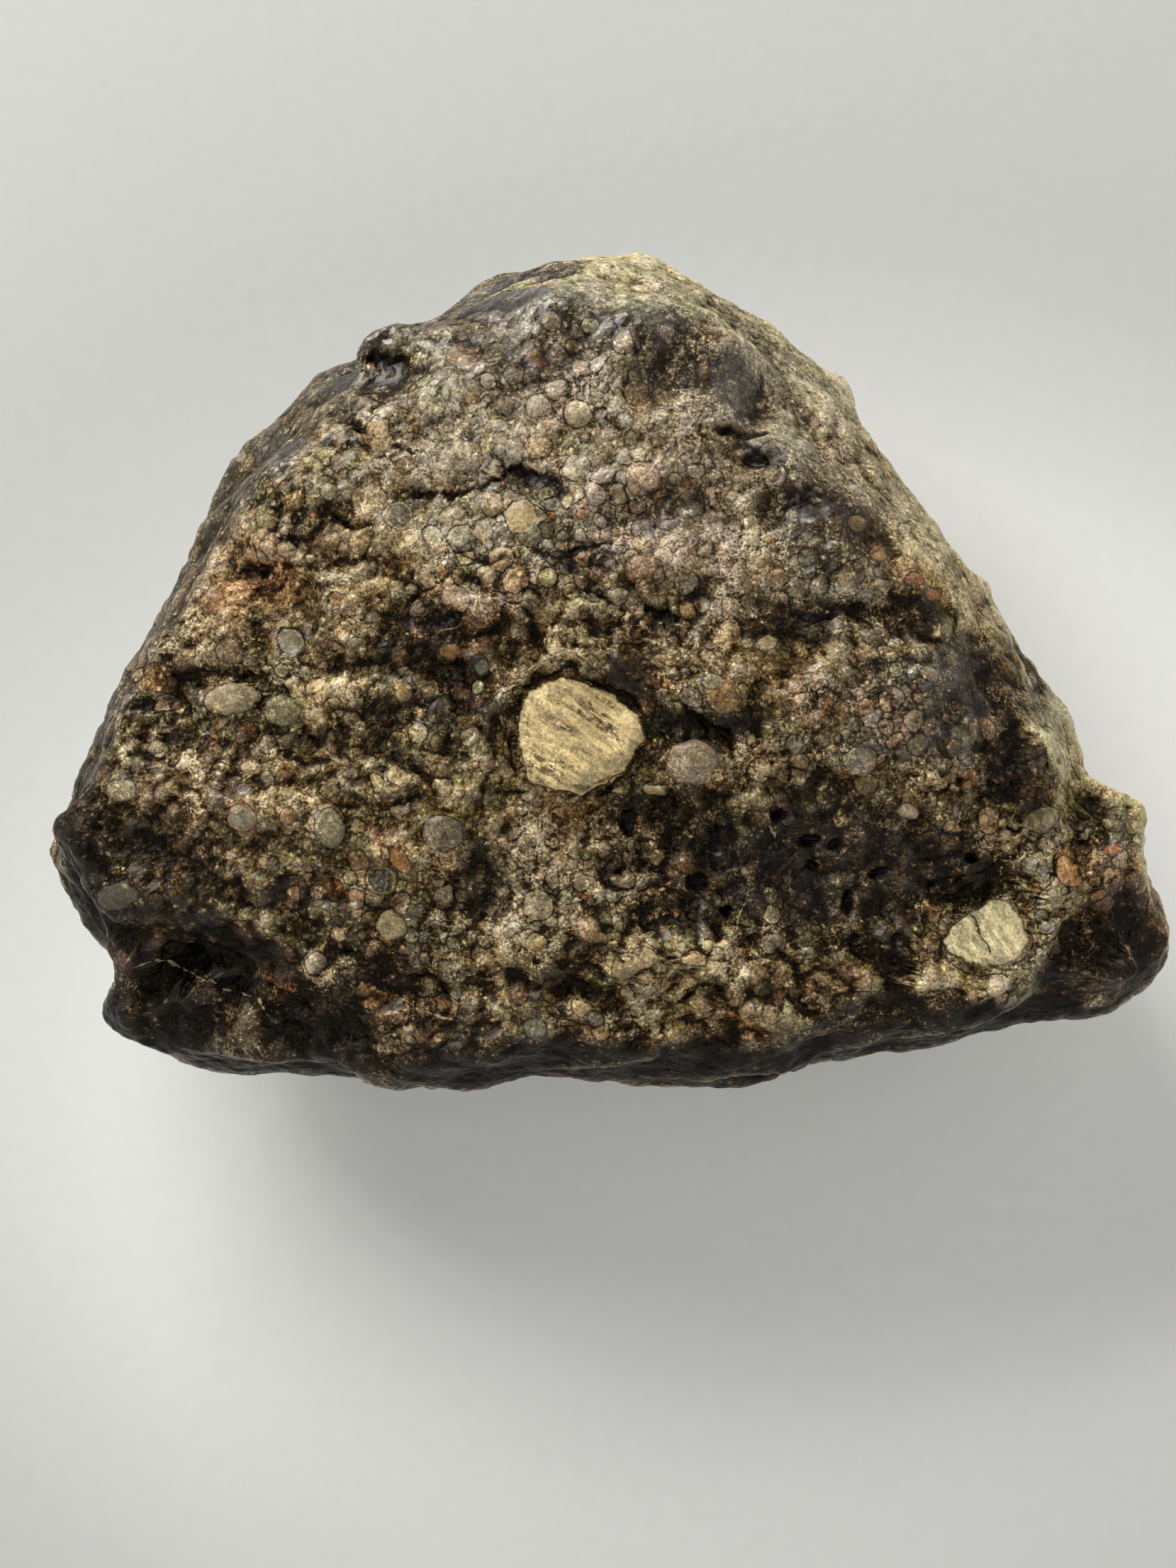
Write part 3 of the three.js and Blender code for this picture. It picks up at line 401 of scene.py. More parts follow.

# Stains and patches, among them painted shade and painted sheen: a tone, then each patch's middle, its half
# width and height, and strength.
PATCHES = {
    "rust": [
        (-20, 4.6, 3, 1.6, 0.9), (-19.5, -17.3, 1.6, 1, 1), (24.2, -7.2, 1.5, 0.8, 1),
        (-9, 1.8, 2.8, 1.2, 0.7), (-13, -15.6, 1.2, 2.2, 0.9), (-3.5, 13, 1.6, 2.6, 0.4),
        (18.2, 4.8, 1.4, 1.2, 0.9), (-21, 7.2, 2.4, 1.4, 0.5), (27.5, -11.2, 2, 1.6, 0.8),
        (29.8, -13.6, 2.4, 2.2, 0.6), (-12.6, -10.4, 1.5, 1.2, 0.8), (7.8, -20.4, 1.6, 0.9, 0.8),
        (-1.2, -8.5, 1.6, 0.6, 0.6), (-25.5, -11.5, 1.6, 1.3, 0.5), (-20.5, 2.6, 1.4, 1, 0.5),
        (-0.5, -21.2, 1.6, 0.7, 0.5), (-12.3, -19, 1.4, 1.2, 0.6), (14.8, 7.6, 1.2, 1.4, 0.5),
        (-18, -12.4, 1.6, 0.7, 0.5),
    ],
    # dark: partly dark stone and partly painted shade, along the front edge where it curls down, in the
    # lower left valley and under ledges and lumps
    "dark": [
        (-9.5, 1.2, 4.2, 1.8, 0.42), (-10.5, -2.6, 4, 1.2, 0.5), (-28.5, -12, 3.6, 4.6, 0.6),
        (-22, -16.2, 3.6, 1.5, 0.65), (-18.2, -20, 2.4, 1.8, 1), (-26.5, -21.4, 5, 1.2, 0.9),
        (0, -22.9, 26, 1.6, 0.8), (4.5, -9.5, 3.5, 3, 0.7), (5.5, -12.6, 4.2, 2.2, 0.6),
        (13.5, -11, 6.5, 4, 0.65), (20.5, -11.6, 2.5, 1.6, 0.6), (22.3, -0.6, 2.6, 3.2, 0.75),
        (23.6, -6, 1.6, 2.6, 0.7), (31, -16.4, 2.6, 3.4, 0.95), (24, -19.9, 6, 1, 0.9),
        (17.8, 3.2, 2.4, 1, 0.85), (10.8, 2.6, 2.6, 1.2, 0.65), (5.6, -3.6, 3.6, 0.8, 0.75),
        (1.4, -0.2, 1.6, 1.6, 0.65), (1.2, -8.4, 1.4, 1.2, 0.9), (-13, -17.6, 2, 1.4, 0.6),
        (15.5, -16, 3.5, 1.4, 0.5), (-16.5, -4, 2.5, 0.8, 0.4), (-21, -6.5, 2.4, 0.7, 0.5),
        (-20.5, -12.8, 2, 0.8, 0.5), (-7.5, -12.5, 1.4, 2, 0.45), (-13.2, 18, 1.5, 0.5, 0.8),
        (9, 12, 0.9, 0.7, 0.8), (-5, 10.6, 2, 0.5, 0.5), (-2, 6.6, 2.2, 0.6, 0.5),
        (12.5, -1.8, 1.4, 0.9, 0.5), (-30.5, -9.5, 1.6, 3, 0.85), (6.5, 18.6, 5, 4.5, 0.42),
        (14, 10, 3, 4.4, 0.34), (20.5, 4, 2, 2.6, 0.22), (-26.5, -11.5, 4.6, 3.6, 0.5),
        (-26, -4.5, 1.5, 2.5, 0.22), (-27, -19.4, 4.6, 2.8, 0.72), (-16.5, -20.2, 4.4, 2.6, 0.8),
        (-10, -20.5, 2.6, 1.6, 0.28), (19, -20.8, 5.5, 2, 0.5), (7.5, -18.5, 2.5, 0.8, 0.4),
        (-25, 1, 1.4, 2, 0.4), (-16, -9.8, 1.6, 0.6, 0.4), (-2, -16.6, 2.4, 0.7, 0.35),
        (20, -20.5, 3, 0.9, 0.7), (12.4, 5.2, 1.2, 0.7, 0.4),
    ],
    "pale": [
        (-6.5, 8.2, 5.5, 2.2, 0.9), (-1.8, 9.2, 1.6, 1, 0.8), (-12.5, 12.5, 2.8, 2, 0.6),
        (-16, 12, 1.8, 0.9, 0.6), (-17.5, -1, 2.6, 2.2, 0.5), (-5, -8, 1.2, 2.6, 0.4),
        (16.5, -2.2, 3.4, 2.2, 0.55), (4.5, 15, 1.6, 1.4, 0.5), (-8.5, -6.5, 1.8, 2.2, 0.45),
        (26.5, -13, 1.4, 2.2, 0.6), (8, 7.5, 1.4, 2.6, 0.35), (4.5, -17, 4.5, 1.6, 0.45),
        (24.8, -10.8, 1, 1.6, 0.7), (21.6, -18.1, 3.6, 1.2, 1), (25.6, -12.4, 1.2, 3, 1),
        (24.8, -14.6, 1.3, 3.2, 0.9), (18.6, -16.4, 1.2, 1.2, 0.6), (-22.4, -18.9, 2.6, 0.9, 0.5),
        (-17, -14.8, 3, 1.6, 0.15), (2.5, -10.2, 1.8, 1.6, 0.4), (6.5, -0.5, 2.6, 1.4, 0.45),
        (-8.5, 14.5, 3, 2.2, 0.4), (-26, -3.5, 1.2, 3.6, 0.35), (-2.6, 1.8, 1.4, 1.2, 0.4),
        (-4, 12, 8, 5.4, 0.95), (3.5, 8, 3.6, 4.6, 0.75), (-0.5, 4.8, 2.8, 2, 0.8), (-20, 5, 3, 3, 0.7),
        (-11.5, 4.6, 4.6, 1.8, 0.6), (-18.5, -6, 3.6, 2.6, 0.7), (-15.5, -9.8, 2.6, 2.4, 0.65),
        (5.5, -4.6, 2, 1.2, 0.3), (25.8, -17, 1.6, 1.2, 0.5), (-5, -14.5, 3, 1.5, 0.35),
        (28, -9.5, 1.6, 1.4, 0.4), (26.8, -4.8, 1.4, 3.6, 0.5),
    ],
    # slate, ashen and violet: partly the stone's own colour and partly a painted grey-violet sheen on the
    # upper face and top edge
    "slate": [
        (-14.2, 16.4, 2.8, 0.9, 0.9), (-12.8, 19.2, 2, 1, 0.9), (-4.5, 21.2, 5, 1.4, 0.9),
        (1.6, 20.3, 2.6, 1.2, 0.8), (-18.6, 12.4, 1, 1.6, 0.8), (7.4, 16.6, 1.6, 2.4, 0.8),
        (18.6, 0.2, 3, 1.4, 0.85), (20, -3.4, 1.6, 2.4, 0.6), (10.6, 12.2, 1.2, 2.4, 0.6),
        (-9.5, 19.2, 2.4, 1, 0.6), (11, 7.6, 1.2, 1.2, 0.4), (-26, 4, 1.2, 3, 0.4),
        (-17.5, -13.2, 2.6, 1, 0.4), (15.5, 2, 1.2, 0.6, 0.5),
    ],
    "ashen": [
        (0, 14, 15, 9, 1), (15.8, -2.6, 5, 3.2, 0.8), (10, 8, 7, 6, 0.8), (-1, 20, 9, 3.5, 0.8),
        (-5, 7.5, 5, 2, 0.4), (13, -11, 6, 3.6, 0.6), (-4, -12, 4, 3, 0.4), (22, -16, 3, 2, 0.4),
    ],
    "violet": [
        (2.5, 8, 4.5, 5, 0.7), (-8, 3.2, 5, 1.8, 0.7), (16, -3.2, 4, 2.4, 0.6), (-23.5, -7.5, 3, 1.6, 0.5),
        (-24, -11.8, 3, 1.4, 0.7), (-4, 17.5, 4, 2.4, 0.5), (6.5, 12, 3, 3, 0.5), (-18.5, 6.2, 3.4, 2, 0.5),
        (29, -14, 3, 4, 0.2), (-24.5, -19.8, 3.6, 1.6, 0.6), (-15, -5.6, 2.6, 1.4, 0.4),
        (12.5, 9.5, 2, 3, 0.5), (-6, -17, 5, 2, 0.4), (-11, 5.2, 2, 1.2, 0.5), (9.5, -1, 2.5, 2, 0.4),
        (3.5, 2.2, 3, 1.6, 0.5), (12.5, -18.5, 4.5, 1.5, 0.4),
    ],
}
spread = sight + wander(2.6, 1.0, 11.0)[:, :2] + wander(1.0, 0.45, 23.0)[:, :2]
patch_share = {}
for tone, patches in PATCHES.items():
    share = np.zeros(point_count)
    for x, y, half_width, half_height, strength in patches:
        reach = np.hypot((spread[:, 0] - x) / half_width, (spread[:, 1] - y) / half_height)
        share = np.maximum(share, strength * step(-reach, -1.35, -0.55))
    patch_share[tone] = share * on_face

# The walls' tone is set by the way they face: the right-hand and far walls are painted paler, as painted
# light, and the front and left walls darker, as painted shade.
WALL_SLOPE = (0.62, 0.86)
LIT_WALL_BEARINGS = (-18, 100)
BEARING_FADES = (8, 10)
RAGGED_EDGE_DEGREES = 22
soft_facing = evened(facing, 40)
bearing = np.degrees(np.arctan2(soft_facing[:, 1], soft_facing[:, 0]))
bearing += RAGGED_EDGE_DEGREES * (wander(5.0, 1.0, 71.0) + wander(1.6, 0.5, 83.0))[:, 0]
on_wall = 1 - step(soft_facing[:, 2], *WALL_SLOPE)
(first, last), (fade_in, fade_out) = LIT_WALL_BEARINGS, BEARING_FADES
lit_side = step(bearing, first - fade_in, first + fade_in)
lit_side *= 1 - step(bearing, last - fade_out, last + fade_out)


def keep(mesh, name, values):
    """Keeps a number, a vector or a colour on every point of a mesh."""
    values = np.asarray(values, np.float32)
    width = values.shape[1] if values.ndim > 1 else 1
    kind, field = {
        1: ("FLOAT", "value"), 3: ("FLOAT_VECTOR", "vector"), 4: ("FLOAT_COLOR", "color"),
    }[width]
    mesh.attributes.new(name, kind, "POINT").data.foreach_set(field, values.ravel())


well_on_face = on_face > 0.2
marks = {
    "worked": (clast_rise - crack_fall - pit_fall) * on_face,
    "calm": step(-clast_edge, -0.15, 0.15) * on_face,
    "clast_edge": clast_edge,
    "clast_fibres": clast_fibres,
    "clast_band": clast_band,
    "clast_colour": clast_colour,
    "clast_rim": clast_rim,
    "crack_side": crack_side,
    "crack_share": crack_share * well_on_face,
    "pit_edge": np.where(well_on_face, pit_edge, FAR),
    "vein_side": vein_side,
    "vein_share": vein_share * well_on_face,
    **patch_share,
    # the walls as they face: painted light on the right-hand and far ones, painted shade on the front and
    # left ones
    "lit_wall": on_wall * lit_side,
    "shaded_wall": on_wall * (1 - lit_side),
    "fibre_place": fibre_place,
}
for name, values in marks.items():
    keep(stone_mesh, name, values)

# --- The stone: its relief --------------------------------------------------------------------
# Chondrites break round their chondrules, which stand out as domes of half a millimetre to two,
# with grooves between them and crags where larger lumps tore out.
KIND_KEYS = ("spacing", "least", "most", "share", "rim", "even", "iron", "bordered", "shift")
CHONDRULES = [dict(zip(KIND_KEYS, kind)) for kind in (
    # spacing, least and greatest radius in mm; share of places taken; depth of the dark rim; how
    # much one tone fills a disc; share rusted; whether discs press flat on each other; noise shift
    (2.4, 0.5, 1.1, 0.42, 0.264, 0.7, 0.0, True, 3.0),
    (1.2, 0.36, 0.8, 0.75, 0.288, 0.72, 0.06, True, 17.0),
    (0.62, 0.18, 0.42, 0.8, 0.192, 0.7, 0.1, True, 41.0),
    (0.34, 0.08, 0.22, 0.7, 0.06, 0.55, 0.1, False, 67.0),  # these are too small to stand out
)]
DOME_HEIGHT = 0.12  # of a chondrule, as a share of its radius
CRAGS = [(6.5, 0.65, 5.0), (2.9, 0.54, 29.0), (1.3, 0.17, 53.0)]  # size and height in mm, shift
CRAG_FOLD = 0.10  # where the noise turns a crag into a hollow
CRAG_SWING = 4.0  # brings the noise's usual reach up to the height
WARP = 0.3
WORN_SHARE = 0.45  # of the crags, where the face is ashen and on the walls
REST_MARGIN = 0.6  # the worn flat spot stays flat up to here


def add(tree, kind, inputs=(), out=0, **settings):
    """Adds one node with its settings, and values or links on its inputs."""
    made = tree.nodes.new(kind)
    for name, value in settings.items():
        setattr(made, name, value)
    for key, value in dict(inputs).items():
        if isinstance(value, bpy.types.NodeSocket):
            tree.links.new(value, made.inputs[key])
        else:
            made.inputs[key].default_value = value
    return made.outputs[out] if made.outputs else made


relief = bpy.data.node_groups.new("chondrite relief", "GeometryNodeTree")
for way, name, kind in (
    ("OUTPUT", "Geometry", "NodeSocketGeometry"),
    ("INPUT", "Geometry", "NodeSocketGeometry"),
    ("INPUT", "Crag height", "NodeSocketFloat"),
    ("INPUT", "Dome height", "NodeSocketFloat"),
    ("INPUT", "Warp", "NodeSocketFloat"),
    ("INPUT", "Material", "NodeSocketMaterial"),
):
    relief.interface.new_socket(name, in_out=way, socket_type=kind)
given = relief.nodes.new("NodeGroupInput").outputs
VM, M, MIX, RANGE = "ShaderNodeVectorMath", "ShaderNodeMath", "ShaderNodeMix", "ShaderNodeMapRange"

place = add(relief, "GeometryNodeInputPosition")
in_mm = add(relief, VM, {0: place, "Scale": 1 / MM}, operation="SCALE")
bend = add(relief, "ShaderNodeTexNoise", {"Vector": in_mm, "Scale": 0.7, "Detail": 2.0}, out="Color")
bend = add(relief, VM, {0: bend, 1: (0.5, 0.5, 0.5)}, operation="SUBTRACT")
bend = add(relief, VM, {0: bend, "Scale": given["Warp"]}, operation="SCALE")
grain = add(relief, VM, {0: in_mm, 1: bend}, operation="ADD")
stored = {"Geometry": given["Geometry"], "Name": "grain", "Value": grain}
geometry = add(
    relief, "GeometryNodeStoreNamedAttribute", stored, data_type="FLOAT_VECTOR", domain="POINT"
)
NAMED = "GeometryNodeInputNamedAttribute"
grain = add(relief, NAMED, {"Name": "grain"}, data_type="FLOAT_VECTOR")
worked_by_hand, calm, ashen, wall, shaded_wall = (
    add(relief, NAMED, {"Name": name}, data_type="FLOAT")
    for name in ("worked", "calm", "ashen", "lit_wall", "shaded_wall")
)

RAISED_KINDS = CHONDRULES[:3]
domes = 0.0
for kind in RAISED_KINDS:
    moved = add(relief, VM, {0: grain, 1: (kind["shift"],) * 3}, operation="ADD")
    cell = {"Vector": moved, "Scale": 1 / kind["spacing"]}
    cells = add(relief, "ShaderNodeTexVoronoi", cell).node.outputs
    away = add(relief, M, {0: cells["Distance"], 1: kind["spacing"]}, operation="MULTIPLY")
    draw = add(relief, "FunctionNodeSeparateColor", {0: cells["Color"]}).node.outputs
    radius = add(relief, RANGE, {"Value": draw[0], 3: kind["least"], 4: kind["most"]})
    level = add(relief, M, {0: away, 1: radius}, operation="DIVIDE")
    level = add(relief, M, {0: level, 1: level}, operation="MULTIPLY")
    level = add(relief, M, {0: 1.0, 1: level}, operation="SUBTRACT")
    level = add(relief, M, {0: level, 1: 0.0}, operation="MAXIMUM")
    level = add(relief, M, {0: level, 1: 0.5}, operation="POWER")
    dome = add(relief, M, {0: level, 1: radius}, operation="MULTIPLY")
    there = add(relief, M, {0: draw[2], 1: kind["share"]}, operation="LESS_THAN")
    dome = add(relief, M, {0: dome, 1: there}, operation="MULTIPLY")
    domes = add(relief, M, {0: domes, 1: dome}, operation="MAXIMUM")
domes = add(relief, M, {0: domes, 1: given["Dome height"]}, operation="MULTIPLY")

crags = 0.0
for size, rise, shift in CRAGS:
    moved = add(relief, VM, {0: grain, 1: (shift,) * 3}, operation="ADD")
    crag = {"Vector": moved, "Scale": 1 / size, "Detail": 2.0, "Roughness": 0.6}
    rough = add(relief, "ShaderNodeTexNoise", crag)
    rough = add(relief, M, {0: rough, 1: 0.5}, operation="SUBTRACT")
    folded = add(relief, M, {0: rough}, operation="ABSOLUTE")
    folded = add(relief, M, {0: folded, 1: CRAG_FOLD}, operation="SUBTRACT")
    crags = add(relief, M, {0: folded, 1: CRAG_SWING * rise, 2: crags}, operation="MULTIPLY_ADD")
crags = add(relief, M, {0: crags, 1: given["Crag height"]}, operation="MULTIPLY")
smooth = add(relief, M, {0: ashen, 1: wall}, operation="MAXIMUM")
smooth = add(relief, M, {0: smooth, 1: shaded_wall}, operation="MAXIMUM")
worn = add(relief, RANGE, {"Value": smooth, 3: 1.0, 4: WORN_SHARE})
crags = add(relief, M, {0: crags, 1: worn}, operation="MULTIPLY")
loose = add(relief, M, {0: 1.0, 1: calm}, operation="SUBTRACT")
height = add(relief, M, {0: domes, 1: crags}, operation="ADD")
height = add(relief, M, {0: height, 1: loose, 2: worked_by_hand}, operation="MULTIPLY_ADD")
flat = add(relief, "ShaderNodeSeparateXYZ", {0: in_mm}, out=2)
free = add(relief, RANGE, {"Value": flat, 1: 0.0, 2: REST_MARGIN})
height = add(relief, M, {0: height, 1: free}, operation="MULTIPLY")
height = add(relief, M, {0: height, 1: MM}, operation="MULTIPLY")
outward = add(relief, "GeometryNodeInputNormal")
offset = add(relief, VM, {0: outward, "Scale": height}, operation="SCALE")
geometry = add(relief, "GeometryNodeSetPosition", {"Geometry": geometry, "Offset": offset})
geometry = add(relief, "GeometryNodeRealizeInstances", {"Geometry": geometry})
dressed = {"Geometry": geometry, "Material": given["Material"]}
geometry = add(relief, "GeometryNodeSetMaterial", dressed)
add(relief, "NodeGroupOutput", {0: geometry})

chondrite = bpy.data.materials.new("chondrite, broken and handled")
chondrite.use_nodes = True

raw = bpy.data.objects.new("raw", stone_mesh)
bpy.context.scene.collection.objects.link(raw)
breaking = raw.modifiers.new("relief", "NODES")
breaking.node_group = relief
settings = {"Crag height": 1.0, "Dome height": DOME_HEIGHT, "Warp": WARP, "Material": chondrite}
for item in relief.interface.items_tree:
    if item.in_out == "INPUT" and item.name in settings:
        breaking[item.identifier] = settings[item.name]
evaluated = raw.evaluated_get(bpy.context.evaluated_depsgraph_get())
finished = bpy.data.meshes.new_from_object(evaluated)
finished.name = "stone"
stone = bpy.data.objects.new("stone", finished)
bpy.context.scene.collection.objects.link(stone)
bpy.data.objects.remove(raw)

# How deep each point lies below what is round it, near by and farther off, in mm.
places, facing = read_points(finished)
for name, passes in (("crease", 3), ("nook", 14), ("hollow", 160)):
    around = evened(places, passes)
    keep(finished, name, np.einsum("ij,ij->i", around - places, facing))

# --- The stone: its material ---------------------------------------------------------------
# Ordinary chondrite: grey-brown silicate stone with rusted iron, broken and then worn smooth by
# handling. Its lightness comes first, as one number; ramps and stains then give it colour, and a
# thin gloss of handling lies on its high ground only.
tree = chondrite.node_tree
tree.nodes.clear()
FIELDS = {"grain": "Vector", "fibre_place": "Vector", "clast_colour": "Color", "clast_rim": "Color"}
kept = {
    name: add(tree, "ShaderNodeAttribute", out=FIELDS.get(name, "Fac"), attribute_name=name)
    for name in (
        *FIELDS, *patch_share, "clast_edge", "clast_fibres", "clast_band", "crack_side",
        "crack_share", "pit_edge", "vein_side", "vein_share", "lit_wall", "shaded_wall", "crease",
        "nook", "hollow",
    )
}
grain = kept["grain"]
NOISES = {  # patterns per mm, detail, roughness
    "fine": (2.2, 3.0, 0.6),  # the matrix's grains, half a millimetre
    "medium": (0.38, 3.0, 0.6),  # clots of like grains, two to three millimetres
    "coarse": (0.16, 3.0, 0.6),  # weathering, which drifts over six millimetres
    "dust": (6.5, 3.0, 0.8),  # rock flour, drawn at 0.15 mm because the real one is too fine
}
NOISE_SHIFT = 31.7
LOW, HIGH = 0.3, 0.7  # most of a noise's values lie between these
noises = {}
for i, (name, (scale, detail, roughness)) in enumerate(NOISES.items()):
    moved = add(tree, VM, {0: grain, 1: (NOISE_SHIFT * i,) * 3}, operation="ADD")
    pattern = {"Vector": moved, "Scale": scale, "Detail": detail, "Roughness": roughness}
    noises[name] = add(tree, "ShaderNodeTexNoise", pattern)

LUMP_HEIGHT, GRAIN_HEIGHT, DUST_HEIGHT = 0.6, 0.13, 0.04  # mm, over a noise's whole reach
LUMPS = {"Scale": 0.95, "Detail": 2.0, "Roughness": 0.55}  # a millimetre wide
lumps = add(tree, "ShaderNodeTexNoise", {"Vector": grain, **LUMPS})
height = add(tree, M, {0: noises["fine"], 1: GRAIN_HEIGHT}, operation="MULTIPLY")
height = add(tree, M, {0: lumps, 1: LUMP_HEIGHT, 2: height}, operation="MULTIPLY_ADD")

BASE_LIGHTNESS = 0.485
SWINGS = {"coarse": 0.09, "medium": 0.12, "fine": 0.17, "dust": 0.40}
DISC_DUST = 0.18  # on chondrules, which show less of the fine grain
lightness = BASE_LIGHTNESS
sandy = add(tree, RANGE, {"Value": noises["medium"], 1: 0.38, 2: 0.62, 3: 0.5, 4: 1.1})
for name, swing in SWINGS.items():
    part = add(tree, RANGE, {"Value": noises[name], 1: LOW, 2: HIGH, 3: -swing, 4: swing})
    if name == "dust":
        part = add(tree, M, {0: part, 1: sandy}, operation="MULTIPLY")
    lightness = add(tree, M, {0: lightness, 1: part}, operation="ADD")
    if name == "medium":
        broad = lightness
dusting = {"Value": noises["dust"], 1: LOW, 2: HIGH, 3: -DISC_DUST, 4: DISC_DUST}
broad = add(tree, M, {0: broad, 1: add(tree, RANGE, dusting)}, operation="ADD")
warmth = add(tree, M, {0: noises["coarse"], 1: noises["medium"]}, operation="ADD")
warmth = add(tree, RANGE, {"Value": warmth, 1: 0.85, 2: 1.15, 3: 0.15, 4: 0.7})
ashen = add(tree, RANGE, {"Value": noises["medium"], 1: 0.42, 2: 0.58, 3: 0.0, 4: 0.35})
crowded = add(tree, RANGE, {"Value": noises["coarse"], 1: 0.42, 2: 0.6, 3: 1.0, 4: 0.45})
plain = add(tree, RANGE, {"Value": kept["lit_wall"], 3: 1.0, 4: 0.3})
crowded = add(tree, M, {0: crowded, 1: plain}, operation="MULTIPLY")

# Chondrules, the smallest kind first, so that larger ones lie over it. Each is a disc of nearly
# one tone with a dark groove for a rim; a few are rusted iron.
SWELL_REACH, SWELL_HEIGHT = 0.5, 0.12  # of the bump's dome, as shares of the greatest radius
PALE_CROWDING = 0.3  # more of the places are taken in pale ground
GROOVE = 0.02  # mm that a disc keeps off its neighbours
DISC_RAGGED, DISC_SOFT = 0.04, 0.05  # mm
DISC_LIFT = {3: -0.14, 4: 0.22}
RING_FADE = {1: 0.01, 2: 0.06}  # mm from the disc's edge
rusty = 0.0
for kind in CHONDRULES[::-1]:
    moved = add(tree, VM, {0: grain, 1: (kind["shift"],) * 3}, operation="ADD")
    cell = {"Vector": moved, "Scale": 1 / kind["spacing"]}
    cells = add(tree, "ShaderNodeTexVoronoi", cell).node.outputs
    away = add(tree, M, {0: cells["Distance"], 1: kind["spacing"]}, operation="MULTIPLY")
    draw = add(tree, "ShaderNodeSeparateColor", {0: cells["Color"]}).node.outputs
    radius = add(tree, RANGE, {"Value": draw[0], 3: kind["least"], 4: kind["most"]})
    edge = add(tree, M, {0: radius, 1: away}, operation="SUBTRACT")
    packed = {0: kept["pale"], 1: PALE_CROWDING, 2: kind["share"]}
    packed = add(tree, M, packed, operation="MULTIPLY_ADD")
    there = add(tree, M, {0: draw[2], 1: packed}, operation="LESS_THAN")
    swell = {"Value": edge, 2: SWELL_REACH * kind["most"], 4: SWELL_HEIGHT * kind["most"]}
    swell = add(tree, RANGE, swell, interpolation_type="SMOOTHSTEP")
    height = add(tree, M, {0: swell, 1: there, 2: height}, operation="MULTIPLY_ADD")
    if kind["bordered"]:
        border = add(tree, "ShaderNodeTexVoronoi", cell, feature="DISTANCE_TO_EDGE")
        border = {0: border, 1: kind["spacing"], 2: -GROOVE}
        border = add(tree, M, border, operation="MULTIPLY_ADD")
        edge = add(tree, M, {0: edge, 1: border}, operation="MINIMUM")
    ragged = {"Value": noises["fine"], 1: LOW, 2: HIGH, 3: -DISC_RAGGED, 4: DISC_RAGGED}
    edge = add(tree, M, {0: edge, 1: add(tree, RANGE, ragged)}, operation="ADD")
    inside = add(tree, RANGE, {"Value": edge, 1: 0.0, 2: DISC_SOFT})
    inside = add(tree, M, {0: inside, 1: there}, operation="MULTIPLY")
    faint = add(tree, M, {0: inside, 1: crowded}, operation="MULTIPLY")
    lift = add(tree, RANGE, {"Value": draw[1], **DISC_LIFT})
    lift = add(tree, M, {0: broad, 1: lift}, operation="ADD")
    even = add(tree, M, {0: faint, 1: kind["even"]}, operation="MULTIPLY")
    lightness = add(tree, MIX, {0: even, 2: lightness, 3: lift}, data_type="FLOAT")
    warmth = add(tree, MIX, {0: faint, 2: warmth, 3: draw[0]}, data_type="FLOAT")
    ashen = add(tree, MIX, {0: faint, 2: ashen, 3: draw[2]}, data_type="FLOAT")
    iron = add(tree, M, {0: draw[1], 1: kind["iron"]}, operation="LESS_THAN")
    rusty = add(tree, MIX, {0: faint, 2: rusty, 3: iron}, data_type="FLOAT")
    ring = add(tree, M, {0: edge}, operation="ABSOLUTE")
    ring = add(tree, RANGE, {"Value": ring, **RING_FADE, 3: -kind["rim"], 4: 0.0})
    ring = add(tree, M, {0: ring, 1: there}, operation="MULTIPLY")
    ring = add(tree, M, {0: ring, 1: crowded}, operation="MULTIPLY")
    lightness = add(tree, M, {0: lightness, 1: ring}, operation="ADD")

# Crumbs of pale mineral, a quarter of a millimetre across, catch the eye between chondrules.
CRUMB_SPACING, CRUMB_LIFT = 0.30, 0.25
CRUMB_RADII = {3: 0.05, 4: 0.15}
CRUMB_RAGGED, CRUMB_SOFT = 0.06, 0.03
crumb = {"Vector": grain, "Scale": 1 / CRUMB_SPACING}
crumbs = add(tree, "ShaderNodeTexVoronoi", crumb).node.outputs
draw = add(tree, "ShaderNodeSeparateColor", {0: crumbs["Color"]}).node.outputs
away = add(tree, M, {0: crumbs["Distance"], 1: CRUMB_SPACING}, operation="MULTIPLY")
radius = add(tree, RANGE, {"Value": draw[0], **CRUMB_RADII})
edge = add(tree, M, {0: radius, 1: away}, operation="SUBTRACT")
ragged = {"Value": noises["dust"], 1: LOW, 2: HIGH, 3: -CRUMB_RAGGED, 4: CRUMB_RAGGED}
edge = add(tree, M, {0: edge, 1: add(tree, RANGE, ragged)}, operation="ADD")
inside = add(tree, RANGE, {"Value": edge, 1: 0.0, 2: CRUMB_SOFT})
there = add(tree, RANGE, {"Value": draw[2], 1: 0.55, 2: 0.8})
lift = add(tree, M, {0: inside, 1: there}, operation="MULTIPLY")
lightness = add(tree, M, {0: lift, 1: CRUMB_LIFT, 2: lightness}, operation="MULTIPLY_ADD")

